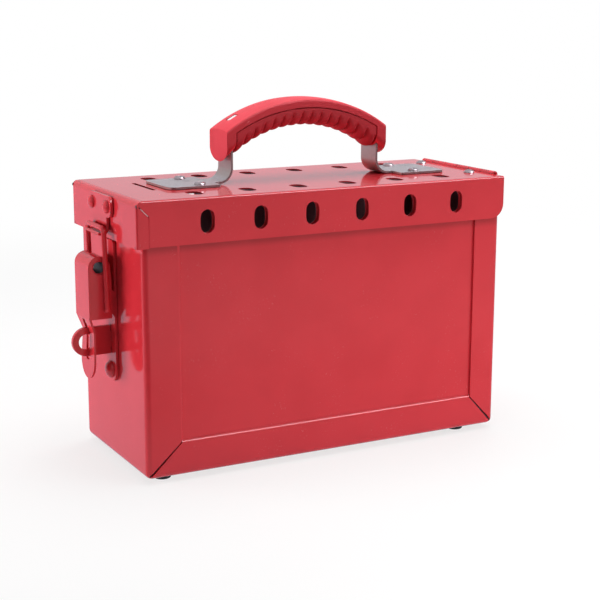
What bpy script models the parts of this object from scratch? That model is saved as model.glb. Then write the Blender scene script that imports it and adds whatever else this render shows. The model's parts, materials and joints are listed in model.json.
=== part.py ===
"""Portable group lock box: a painted sheet-steel box with a hinged, slotted lid.

Twelve padlocks hang in the slots along the lid's front and back edges and keep the lid shut over
the keys inside. The lid carries a strap handle with a moulded grip. A pull-down latch on the left
end has a lever, a wire bail and a padlock eye.

X runs along the box, from the latch (left) to the hinge (right). Y runs from the front (minus) to
the back (plus). Z is up, and zero is the floor under the rubber feet. Sizes are worked out from
the lid's middle; everything hangs on one empty that centres the whole outline over the origin.
"""
import math

import bmesh
import bpy
from mathutils import Vector

MM = 0.001

# Clearances that every piece shares
GAP = 0.25 * MM             # between two pieces that touch on the real box
OVERRUN = 3 * MM            # how far a cutter runs past what it cuts

# Whole box
LID_LENGTH = 236 * MM
LID_WIDTH = 101 * MM
BOX_HEIGHT = 155 * MM       # underside of the body to the top of the lid
FOOT_DROP = 3 * MM          # how far the feet stand below the body

# Lid
LID_SHEET = 1.2 * MM
SKIRT_DEPTH = 25.1 * MM
END_SKIRT_EXTRA = 0.5 * MM  # the latch end's skirt hangs this much lower
END_BEND = 3.5 * MM
SIDE_BEND = 1.6 * MM
CORNER_BEND = 1.4 * MM
TAB_WIDTH = 7.1 * MM        # the end skirt's tab, folded round the corner
SEAM_WIDTH = 0.4 * MM
SKIRT_CORNER_RADIUS = 8.5 * MM
KEY_SLOT_LENGTH = 33 * MM
KEY_SLOT_WIDTH = 2.6 * MM
KEY_SLOT_FROM_END = 25.7 * MM
KEY_SLOT_FROM_MIDDLE = 3 * MM

# Padlock slots
SLOT_COUNT = 6
SLOT_PITCH = 32.15 * MM
SLOT_WIDTH = 8.4 * MM
SLOT_LENGTH = 13.1 * MM
SLOT_DROP = 13.2 * MM       # slot centres below the lid's top
SLOT_INSET = 17.5 * MM      # slot centres in from the lid's long edges
SLOT_CENTRE = 3.3 * MM      # middle of the row, from the lid's middle

# Body
BODY_SHEET = 1.2 * MM
BODY_BEND = 3.5 * MM
SKIRT_CLEARANCE = 0.7 * MM  # lid skirt to the body, front and back
LATCH_END_SETBACK = 4 * MM  # lid end to the body end, latch side
HINGE_END_SETBACK = 1 * MM
BOTTOM_FLANGE = 19 * MM
LEFT_STILE = 20.3 * MM
RIGHT_STILE = 18 * MM
MITRE_WIDTH = 0.7 * MM

# Rubber feet
FOOT_RADIUS = 5 * MM
FOOT_NECK_RADIUS = 2.6 * MM
FOOT_BULB_RADIUS = 4 * MM
FOOT_BULB_HEIGHT = 3.2 * MM
FOOT_FROM_LEFT = 13 * MM
FOOT_FROM_RIGHT = 21.5 * MM
FOOT_FROM_SIDE = 11 * MM

# Blind rivets: head, shank and the upset tail behind the sheet
RIVET_HEAD_RADIUS = 3.3 * MM
RIVET_HEAD_HEIGHT = 1.4 * MM
RIVET_SHANK_RADIUS = 1.9 * MM
RIVET_BORE_RADIUS = 0.95 * MM
RIVET_TAIL_RADIUS = 2.8 * MM
RIVET_TAIL_LENGTH = 2.6 * MM
TAIL_END_SHARE = 0.8         # radius of an upset tail's far end, to its widest
RIVET_HOLE_CLEARANCE = 0.2 * MM
SOLID_RIVET_HEAD_RADIUS = 4.8 * MM
SOLID_RIVET_HEAD_HEIGHT = 3 * MM
SOLID_RIVET_SHANK_RADIUS = 2.4 * MM
HINGE_RIVET_HEAD_RADIUS = 3.3 * MM
HINGE_RIVET_HEAD_HEIGHT = 1.7 * MM
HINGE_RIVET_SHANK_RADIUS = 1.6 * MM

# Hinge
HINGE_LENGTH = 78 * MM
KNUCKLE_COUNT = 6
KNUCKLE_GAP = 0.4 * MM
HINGE_CURL = 280            # degrees of leaf rolled round the pin
LEAF_SHEET = 1.1 * MM
PIN_RADIUS = 0.88 * MM
PIN_CLEARANCE = 0.12 * MM
PIN_RECESS = 1.6 * MM
LID_LEAF_WIDTH = 15 * MM    # under the lid, in from the barrel
BODY_LEAF_WIDTH = 22 * MM   # down the outside of the end wall
LID_HINGE_RIVET_INSET = 8.2 * MM
LID_HINGE_RIVET_FROM_END = 12.25 * MM
BODY_HINGE_RIVET_FROM_END = 12 * MM
BODY_HINGE_RIVET_DROP = 14 * MM

# Handle strap
HANDLE_CENTRE = 5.4 * MM
STRAP_SHEET = 1.3 * MM
STRAP_WIDTH = 17.5 * MM
STRAP_HALF_SPAN = 48.8 * MM  # handle's middle to the outer face of a leg
FOOT_PLATE_WIDTH = 38 * MM
FOOT_PLATE_REACH = 91.4 * MM  # handle's middle to the foot's outer end
FOOT_PLATE_INNER = 59.5 * MM  # handle's middle to the foot's inner shoulder
FOOT_PLATE_CORNER = 5 * MM
FOOT_BEND = 7.5 * MM
HANDLE_RIVET_REACH = 70.8 * MM
HANDLE_RIVET_FROM_SIDE = 4.7 * MM
STRAP_RISE = 40.5 * MM       # lid's top to the strap's middle at its crown
STRAP_CROWN_RADIUS = 150 * MM
STRAP_SHOULDER_RUN = 6.8 * MM  # outer face of a leg in to where the crown starts

# Moulded grip
GRIP_HALF_LENGTH = 52.6 * MM
GRIP_HALF_WIDTH = 12 * MM
GRIP_RISE = 47.7 * MM        # lid's top to the grip's crown
GRIP_CROWN_RADIUS = 90.5 * MM
GRIP_DEPTH = 14.3 * MM       # cover, square to its crown
GRIP_SEAM_DEPTH = 6.3 * MM
GRIP_BELLY = 8 * MM          # depth of the round underside
GRIP_EDGE_FILLET = 2.6 * MM
GRIP_CROWNING = 0.9 * MM
INSERT_HALF_LENGTH = 46 * MM
INSERT_DEPTH = 16.4 * MM     # crown to the tips of the ribs
INSERT_SETBACK = 0.3 * MM    # insert's sides behind the cover's
RIB_COUNT = 15
RIB_DEPTH = 1.3 * MM
WINDOW_LENGTH = 6 * MM
WINDOW_WIDTH = 5 * MM
WINDOW_REACH = 42.5 * MM

# Latch: keeper on the lid's end
KEEPER_SHEET = 1.8 * MM
KEEPER_WIDTH = 34.8 * MM
KEEPER_HEIGHT = 12 * MM
KEEPER_DROP = 1.6 * MM       # lid's top to the keeper's top edge
KEEPER_CORNER = 4.5 * MM
KEEPER_RIVET_SPAN = 23.5 * MM
HOOK_WIDTH = 21.4 * MM
HOOK_INNER_RADIUS = 2.6 * MM
HOOK_SHEET = 1.6 * MM
HOOK_LIP_ANGLE = 40          # degrees round from straight down
HOOK_DROP = 19.6 * MM        # lid's top to the hook's centre

# Latch: base plate and ears on the body's end
BASE_SHEET = 1.5 * MM
BASE_WIDTH = 17 * MM
BASE_TOP = 127.5 * MM        # above the body's underside
BASE_BOTTOM = 45.5 * MM
BASE_RIVET_LOW = 52.3 * MM
BASE_RIVET_HIGH = 93 * MM
EAR_SHEET = 1.5 * MM
EAR_RADIUS = 4.9 * MM
EAR_CROSSING_ANGLES = (235, 274)  # degrees, where the arms pass under the lever's nose
EAR_ARM_DROP = 8.5 * MM      # pivot down to the arms' bend
EAR_ROOT_TOP = 15 * MM       # pivot down to the arms' root on the plate
EAR_ROOT_BOTTOM = 31 * MM

# Latch: padlock eye
EYE_SHEET = 3 * MM
EYE_HEIGHT = 16.4 * MM
EYE_HOLE_RADIUS = 4.55 * MM
EYE_REACH = 24.4 * MM        # body's end to the tip of the eye
EYE_LEVEL = 70.1 * MM        # above the body's underside
EYE_TAB_HEIGHT = 9 * MM

# Latch: lever
LEVER_SHEET = 1.2 * MM
LEVER_WIDTH = 22.2 * MM
LEVER_NOSE_RADIUS = 6.4 * MM
LEVER_PIVOT_REACH = 11.2 * MM   # body's end to the pivot
LEVER_PIVOT_LEVEL = 113.7 * MM
LEVER_WALL_BOTTOM = 84.6 * MM
LEVER_WALL_BACK = 4.2 * MM      # body's end to the side walls' back edge
LEVER_WRAP_END = 62             # degrees, where the nose's plate stops
TONGUE_KNEE_LEVEL = 76 * MM
TONGUE_KNEE_SET = 3 * MM        # how far the knee lies inside the lever's face
TONGUE_TIP_LEVEL = 49 * MM
TONGUE_TIP_SET = 1.8 * MM
TONGUE_KNEE_WIDTH = 18.6 * MM
TONGUE_WIDTH = 21.2 * MM
TONGUE_SLOT_WIDTH = 5.4 * MM
TONGUE_SLOT_TOP = 83.5 * MM
TONGUE_SLOT_BOTTOM = 59.8 * MM
TUBE_PIN_RADIUS = 3.85 * MM
TUBE_PIN_BORE = 3.35 * MM
TUBE_PIN_CLEARANCE = 0.15 * MM

# Latch: wire bail
BAIL_WIRE_RADIUS = 1.5 * MM
BAIL_PIVOT_REACH = 7.5 * MM     # body's end to the bail's pivot
BAIL_PIVOT_LEVEL = 89.5 * MM
BAIL_BAR_LEVEL = 135.6 * MM
BAIL_CORNER_RADIUS = 3.2 * MM
BAIL_INTURN = 1 * MM         # how far the ends run inside the lever's walls

# Smoothness of round shapes, in steps
BEND_STEPS = 4
SLOT_STEPS = 6
DOME_STEPS = 3
RIVET_STEPS = 16
WIRE_SIDES = 10
BARREL_STEPS = 14

# Places that follow from the sizes above
LID_LEFT = -LID_LENGTH / 2
LID_RIGHT = LID_LENGTH / 2
LID_FRONT = -LID_WIDTH / 2
BODY_FLOOR = FOOT_DROP
LID_TOP = BODY_FLOOR + BOX_HEIGHT
LID_UNDER = LID_TOP - LID_SHEET
END_SKIRT_BOTTOM = LID_TOP - SKIRT_DEPTH - END_SKIRT_EXTRA
SKIRT_BOTTOM = LID_TOP - SKIRT_DEPTH
BODY_LEFT = LID_LEFT + LATCH_END_SETBACK
BODY_RIGHT = LID_RIGHT - HINGE_END_SETBACK
BODY_HALF_DEPTH = LID_WIDTH / 2 - LID_SHEET - SKIRT_CLEARANCE
BODY_RIM = LID_UNDER - GAP
KNUCKLE_RADIUS = PIN_RADIUS + PIN_CLEARANCE + LEAF_SHEET
HINGE_X = BODY_RIGHT + GAP + KNUCKLE_RADIUS
LID_LEAF_LOW = LID_UNDER - GAP - LEAF_SHEET
HINGE_Z = LID_LEAF_LOW + KNUCKLE_RADIUS
LID_EDGE_AT_HINGE = HINGE_X - KNUCKLE_RADIUS - GAP
HINGE_NOTCH_HALF = HINGE_LENGTH / 2 + GAP * 4
PIVOT_X = BODY_LEFT - LEVER_PIVOT_REACH
PIVOT_Z = BODY_FLOOR + LEVER_PIVOT_LEVEL
BAIL_X = BODY_LEFT - BAIL_PIVOT_REACH
BAIL_Z = BODY_FLOOR + BAIL_PIVOT_LEVEL
BASE_FACE = BODY_LEFT - GAP - BASE_SHEET
EYE_TIP = BODY_LEFT - EYE_REACH
HINGE_SIDE_REACH = HINGE_X + KNUCKLE_RADIUS
FRAME_SHIFT = -(EYE_TIP + HINGE_SIDE_REACH) / 2


def arc(centre, radius, start, end, steps):
    """Points on an arc, angles in degrees, both ends included."""
    points = []
    for i in range(steps + 1):
        angle = math.radians(start + (end - start) * i / steps)
        points.append((centre[0] + radius * math.cos(angle), centre[1] + radius * math.sin(angle)))
    return points


def rounded_rectangle(low, high, radii, steps):
    """Outline of a rectangle whose corners have the four radii given.

    The corners run from the lower left, counter-clockwise. A radius of zero leaves a sharp corner.
    """
    corners = [(low[0], low[1], 1, 1, 180), (high[0], low[1], -1, 1, 270),
               (high[0], high[1], -1, -1, 0), (low[0], high[1], 1, -1, 90)]
    points = []
    for (x, y, side_x, side_y, start), radius in zip(corners, radii):
        if radius == 0:
            points.append((x, y))
        else:
            centre = (x + side_x * radius, y + side_y * radius)
            points += arc(centre, radius, start, start + 90, steps)
    return points


def obround(centre, length, width, along_first):
    """Outline of a slot with round ends, its length along the first or the second axis."""
    half_run = (length - width) / 2
    radius = width / 2
    if along_first:
        return (arc((centre[0] + half_run, centre[1]), radius, -90, 90, SLOT_STEPS)
                + arc((centre[0] - half_run, centre[1]), radius, 90, 270, SLOT_STEPS))
    return (arc((centre[0], centre[1] + half_run), radius, 0, 180, SLOT_STEPS)
            + arc((centre[0], centre[1] - half_run), radius, 180, 360, SLOT_STEPS))


def ribbon(path, thickness):
    """Outline of a strip of sheet whose left-hand face follows the path."""
    far_side = []
    for i, point in enumerate(path):
        before = Vector(path[max(i - 1, 0)])
        after = Vector(path[min(i + 1, len(path) - 1)])
        here = Vector(point)
        first = (here - before).normalized() if i > 0 else (after - here).normalized()
        second = (after - here).normalized() if i < len(path) - 1 else first
        normal = Vector((first.y + second.y, -first.x - second.x)).normalized()
        stretch = 1 / max(normal.dot(Vector((first.y, -first.x))), 0.5)
        far_side.append(tuple(here + normal * thickness * stretch))
    return list(path) + far_side[::-1]


def material(name, colour, roughness, metallic=0.0):
    """A Principled material, made once for each name."""
    found = bpy.data.materials.get(name)
    if found:
        return found
    made = bpy.data.materials.new(name)
    made.use_nodes = True
    shader = made.node_tree.nodes["Principled BSDF"]
    shader.inputs["Base Color"].default_value = (*colour, 1.0)
    shader.inputs["Roughness"].default_value = roughness
    shader.inputs["Metallic"].default_value = metallic
    made.diffuse_color = (*colour, 1.0)
    return made


def red_paint(name):
    """Gloss red enamel on sheet steel."""
    return material(name + "_paint", (0.58, 0.045, 0.05), 0.25)


def bright_steel(name):
    """Plated steel, as on rivets and pins."""
    return material(name + "_steel", (0.62, 0.6, 0.6), 0.3, 1.0)


class Assembly:
    """The empties that carry the pieces, one for each thing that moves as one."""

    def __init__(self):
        self.frame = self.add_empty("lock_box_frame", (FRAME_SHIFT, 0, 0), None)
        self.lid = self.add_empty("lid_hinge_axis", (HINGE_X, 0, HINGE_Z), self.frame)
        self.lever = self.add_empty("lever_pivot_axis", (PIVOT_X, 0, PIVOT_Z), self.frame)
        self.bail = self.add_empty("bail_pivot_axis", (BAIL_X, 0, BAIL_Z), self.frame)

    @staticmethod
    def add_empty(name, place, parent):
        """Make an empty at a place measured from its parent."""
        empty = bpy.data.objects.new(name, None)
        bpy.context.scene.collection.objects.link(empty)
        empty.location = place
        empty.parent = parent
        return empty

    def carry(self, piece, carrier):
        """Hang a piece, drawn in box coordinates, on a carrier, with its origin on the carrier."""
        if carrier is not self.frame:
            for vertex in piece.data.vertices:
                vertex.co -= carrier.location
        piece.parent = carrier
        return piece


def add_object(name, mesh_builder, finish=None, smooth_angle=None):
    """Turn a filled bmesh into an object with outward faces."""
    bmesh.ops.recalc_face_normals(mesh_builder, faces=mesh_builder.faces)
    mesh = bpy.data.meshes.new(name)
    mesh_builder.to_mesh(mesh)
    mesh_builder.free()
    if smooth_angle is not None:
        mesh.shade_smooth()
        mesh.set_sharp_from_angle(angle=math.radians(smooth_angle))
    piece = bpy.data.objects.new(name, mesh)
    bpy.context.scene.collection.objects.link(piece)
    if finish:
        mesh.materials.append(finish)
    return piece


def add_prism(builder, outline, axis, low, high):
    """Add an outline, extruded along an axis, to a bmesh.

    The outline's two coordinates are the two other axes, in the order X, Y, Z.
    """
    def point(pair, level):
        values = list(pair)
        values.insert("XYZ".index(axis), level)
        return values

    bottom = [builder.verts.new(point(pair, low)) for pair in outline]
    top = [builder.verts.new(point(pair, high)) for pair in outline]
    builder.faces.new(bottom)
    builder.faces.new(top[::-1])
    count = len(outline)
    for i in range(count):
        after = (i + 1) % count
        builder.faces.new((bottom[i], bottom[after], top[after], top[i]))


def prism(name, outline, axis, low, high, finish=None, smooth_angle=None):
    """One extruded outline as an object."""
    builder = bmesh.new()
    add_prism(builder, outline, axis, low, high)
    return add_object(name, builder, finish, smooth_angle)


def block(name, low, high, finish=None):
    """A plain box between two corners."""
    outline = [(low[0], low[1]), (high[0], low[1]), (high[0], high[1]), (low[0], high[1])]
    return prism(name, outline, "Z", low[2], high[2], finish)


def add_turned(builder, profile, centre, axis, steps):
    """Add a turned shape: profile points are (radius, distance along the axis).

    A profile that starts and ends on the axis is solid; any other is taken as a closed ring.
    """
    axis = Vector(axis).normalized()
    side = axis.orthogonal().normalized()
    other = axis.cross(side)
    rings = []
    for radius, along in profile:
        base = Vector(centre) + axis * along
        if radius == 0:
            rings.append([builder.verts.new(base)])
            continue
        ring = []
        for i in range(steps):
            angle = math.tau * i / steps
            ring.append(builder.verts.new(
                base + (side * math.cos(angle) + other * math.sin(angle)) * radius))
        rings.append(ring)
    pairs = list(zip(rings, rings[1:]))
    if len(rings[0]) > 1:
        pairs.append((rings[-1], rings[0]))
    for ring, following in pairs:
        for i in range(steps):
            after = (i + 1) % steps
            if len(ring) == 1:
                builder.faces.new((ring[0], following[i], following[after]))
            elif len(following) == 1:
                builder.faces.new((ring[i], following[0], ring[after]))
            else:
                builder.faces.new((ring[i], following[i], following[after], ring[after]))


def add_tube(builder, path, radius, sides, side_axis):
    """Add a round wire along a flat path, with filled ends. side_axis is square to the path."""
    side_axis = Vector(side_axis)
    path = [Vector(point) for point in path]
    rings = []
    for i, point in enumerate(path):
        before = path[max(i - 1, 0)]
        after = path[min(i + 1, len(path) - 1)]
        out = (after - before).normalized().cross(side_axis).normalized()
        rings.append([builder.verts.new(
            point + (side_axis * math.cos(math.tau * k / sides) + out * math.sin(math.tau * k / sides))
            * radius) for k in range(sides)])
    for ring, following in zip(rings, rings[1:]):
        for k in range(sides):
            after = (k + 1) % sides
            builder.faces.new((ring[k], following[k], following[after], ring[after]))
    builder.faces.new(rings[0][::-1])
    builder.faces.new(rings[-1])


def combine(piece, other, operation):
    """Add a Boolean with a hidden second shape."""
    other.hide_render = True
    other.display_type = "WIRE"
    modifier = piece.modifiers.new(operation.lower(), "BOOLEAN")
    modifier.operation = operation
    modifier.solver = "EXACT"
    modifier.object = other
    return piece


def cut(piece, other):
    """Take the other shape out of the piece."""
    return combine(piece, other, "DIFFERENCE")


def fuse(piece, other):
    """Join the other shape to the piece."""
    return combine(piece, other, "UNION")


def trim_to(piece, other):
    """Keep only what lies inside the other shape."""
    return combine(piece, other, "INTERSECT")


def bevelled_block(name, low, high, edge_radii, finish=None):
    """A box with some of its edges rounded.

    edge_radii holds (radius, test) pairs; test takes an edge's two ends and says if it is rounded.
    """
    builder = bmesh.new()
    outline = [(low[0], low[1]), (high[0], low[1]), (high[0], high[1]), (low[0], high[1])]
    add_prism(builder, outline, "Z", low[2], high[2])
    bmesh.ops.recalc_face_normals(builder, faces=builder.faces)
    for radius, chosen in edge_radii:
        edges = [edge for edge in builder.edges if chosen(edge.verts[0].co, edge.verts[1].co)]
        bmesh.ops.bevel(builder, geom=edges, offset=radius, offset_type="OFFSET",
                        segments=BEND_STEPS, profile=0.5, affect="EDGES", clamp_overlap=True)
    return add_object(name, builder, finish, smooth_angle=40)


def slot_places():
    """Where the padlock slots sit along the box."""
    first = SLOT_CENTRE - SLOT_PITCH * (SLOT_COUNT - 1) / 2
    return [first + SLOT_PITCH * i for i in range(SLOT_COUNT)]


def side_slots(name, low, high):
    """Cutter for the slots in the long walls, between two depths on one side."""
    builder = bmesh.new()
    for x in slot_places():
        outline = obround((x, LID_TOP - SLOT_DROP), SLOT_LENGTH, SLOT_WIDTH, along_first=False)
        add_prism(builder, outline, "Y", low, high)
    return add_object(name, builder)


def same(first, second):
    """True if two coordinates are one, within the rounding of a mesh."""
    return math.isclose(first, second, abs_tol=GAP / 10)


def shell_blocks(name, low, high, sheet, radii, finish):
    """An outer block and the smaller one that hollows it.

    radii holds (edge test maker, outer radius) pairs. The inner radius is less by the sheet, so
    that the wall keeps one thickness round each bend.
    """
    inner_low = Vector(low) + Vector((sheet, sheet, sheet))
    inner_high = Vector(high) - Vector((sheet, sheet, sheet))
    outer = bevelled_block(name, low, high, [(r, make(low, high)) for make, r in radii], finish)
    inner_radii = [(max(r - sheet, sheet / 4), make(inner_low, inner_high)) for make, r in radii]
    inner = bevelled_block(name + "_hollow", inner_low, inner_high, inner_radii)
    return outer, inner


def upright_edges(low, high):
    """Test for the four upright edges of a block."""
    return lambda a, b: same(a.x, b.x) and same(a.y, b.y)


def floor_edges(low, high):
    """Test for the edges round the underside of a block."""
    return lambda a, b: same(a.z, low[2]) and same(b.z, low[2])


def hollow_through(hollow, axis, old, new):
    """Push one side of a hollowing block out, so that the shell is open there."""
    for vertex in hollow.data.vertices:
        if same(vertex.co[axis], old):
            vertex.co[axis] = new
    return hollow


def make_body(assembly):
    """The body's wrap: two ends and the bottom in one piece, with flanges front and back."""
    low = (BODY_LEFT, -BODY_HALF_DEPTH, BODY_FLOOR)
    high = (BODY_RIGHT, BODY_HALF_DEPTH, BODY_RIM)
    radii = [(lambda lo, hi: lambda a, b: (upright_edges(lo, hi)(a, b) or floor_edges(lo, hi)(a, b)),
              BODY_BEND)]
    wrap, hollow = shell_blocks("body_wrap", low, high, BODY_SHEET, radii, red_paint("body_wrap"))
    hollow_through(hollow, 2, BODY_RIM - BODY_SHEET, BODY_RIM + OVERRUN)
    cut(wrap, hollow)

    window_low = BODY_LEFT + LEFT_STILE
    window_high = BODY_RIGHT - RIGHT_STILE
    window_bottom = BODY_FLOOR + BOTTOM_FLANGE
    cut(wrap, block("body_window", (window_low, -BODY_HALF_DEPTH - OVERRUN, window_bottom),
                    (window_high, BODY_HALF_DEPTH + OVERRUN, BODY_RIM + OVERRUN)))

    # The mitres run from the window's lower corners to the box's corners, through the flanges only
    slits = bmesh.new()
    flange_depth = BODY_SHEET + OVERRUN / 2
    for corner_x, inner_x in ((BODY_LEFT, window_low), (BODY_RIGHT, window_high)):
        outward = 1 if corner_x > inner_x else -1
        run = Vector((corner_x - inner_x, BODY_FLOOR - window_bottom)).normalized()
        normal = Vector((-run.y, run.x)) * MITRE_WIDTH / 2
        start = Vector((inner_x, window_bottom)) - run * MITRE_WIDTH
        end = Vector((corner_x - outward * BODY_BEND / 2, BODY_FLOOR + BODY_BEND / 2))
        wide = normal * 2
        outline = [start + normal, start - normal, end - wide, end + wide]
        for side in (-1, 1):
            face = side * BODY_HALF_DEPTH
            levels = sorted((face + side * OVERRUN, face - side * flange_depth))
            add_prism(slits, [tuple(point) for point in outline], "Y", *levels)
    cut(wrap, add_object("body_mitres", slits))

    # The hinge end's rim is cut down where the lid's leaf passes over it
    cut(wrap, block("body_low_rim",
                    (LID_EDGE_AT_HINGE - OVERRUN, -HINGE_NOTCH_HALF, LID_LEAF_LOW - GAP * 2),
                    (LID_RIGHT + OVERRUN, HINGE_NOTCH_HALF, LID_TOP)))

    holes = bmesh.new()
    for x, y in foot_places():
        add_turned(holes, plug_profile(FOOT_NECK_RADIUS + GAP, BODY_SHEET + OVERRUN * 2),
                   (x, y, BODY_FLOOR - OVERRUN), (0, 0, 1), RIVET_STEPS)
    for z in base_rivet_levels():
        add_turned(holes, plug_profile(SOLID_RIVET_SHANK_RADIUS + RIVET_HOLE_CLEARANCE,
                                       BODY_SHEET + OVERRUN * 2),
                   (BODY_LEFT - OVERRUN, 0, z), (1, 0, 0), RIVET_STEPS)
    for y, z in body_hinge_rivet_places():
        add_turned(holes, plug_profile(HINGE_RIVET_SHANK_RADIUS + RIVET_HOLE_CLEARANCE,
                                       BODY_SHEET + OVERRUN * 2),
                   (BODY_RIGHT - BODY_SHEET - OVERRUN, y, z), (1, 0, 0), RIVET_STEPS)
    cut(wrap, add_object("body_holes", holes))
    assembly.carry(wrap, assembly.frame)
    return wrap


def plug_profile(radius, length):
    """Profile of a plain round plug, for holes."""
    return [(0, 0), (radius, 0), (radius, length), (0, length)]


def make_panels(assembly):
    """The front and back panels, welded behind the wrap's flanges."""
    low_x = BODY_LEFT + BODY_BEND + GAP
    high_x = BODY_RIGHT - BODY_BEND - GAP
    low_z = BODY_FLOOR + BODY_BEND + GAP
    for name, side in (("front_panel", -1), ("back_panel", 1)):
        outer = side * (BODY_HALF_DEPTH - BODY_SHEET - GAP)
        inner = outer - side * BODY_SHEET
        near, far = sorted((outer, inner))
        panel = block(name, (low_x, near, low_z), (high_x, far, BODY_RIM), red_paint(name))
        cut(panel, side_slots(name + "_slots", near - OVERRUN, far + OVERRUN))
        assembly.carry(panel, assembly.frame)


def foot_places():
    """Centres of the four feet, front row first."""
    side = BODY_HALF_DEPTH - FOOT_FROM_SIDE
    left = BODY_LEFT + FOOT_FROM_LEFT
    right = BODY_RIGHT - FOOT_FROM_RIGHT
    return [(left, -side), (right, -side), (left, side), (right, side)]


def make_feet(assembly):
    """Push-in rubber feet: a disc below, a neck through the bottom and a bulb that holds it."""
    names = ("foot_front_left", "foot_front_right", "foot_back_left", "foot_back_right")
    fillet = FOOT_DROP / 4
    disc_top = FOOT_DROP - GAP
    bulb_low = FOOT_DROP + BODY_SHEET + GAP
    profile = [(0, 0), (FOOT_RADIUS - fillet, 0), (FOOT_RADIUS, fillet), (FOOT_RADIUS, disc_top),
               (FOOT_NECK_RADIUS, disc_top), (FOOT_NECK_RADIUS, bulb_low),
               (FOOT_BULB_RADIUS, bulb_low), (FOOT_NECK_RADIUS, bulb_low + FOOT_BULB_HEIGHT),
               (0, bulb_low + FOOT_BULB_HEIGHT)]
    for name, (x, y) in zip(names, foot_places()):
        builder = bmesh.new()
        add_turned(builder, profile, (x, y, 0), (0, 0, 1), RIVET_STEPS)
        foot = add_object(name, builder, material(name + "_rubber", (0.03, 0.03, 0.035), 0.8), 35)
        assembly.carry(foot, assembly.frame)


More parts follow.
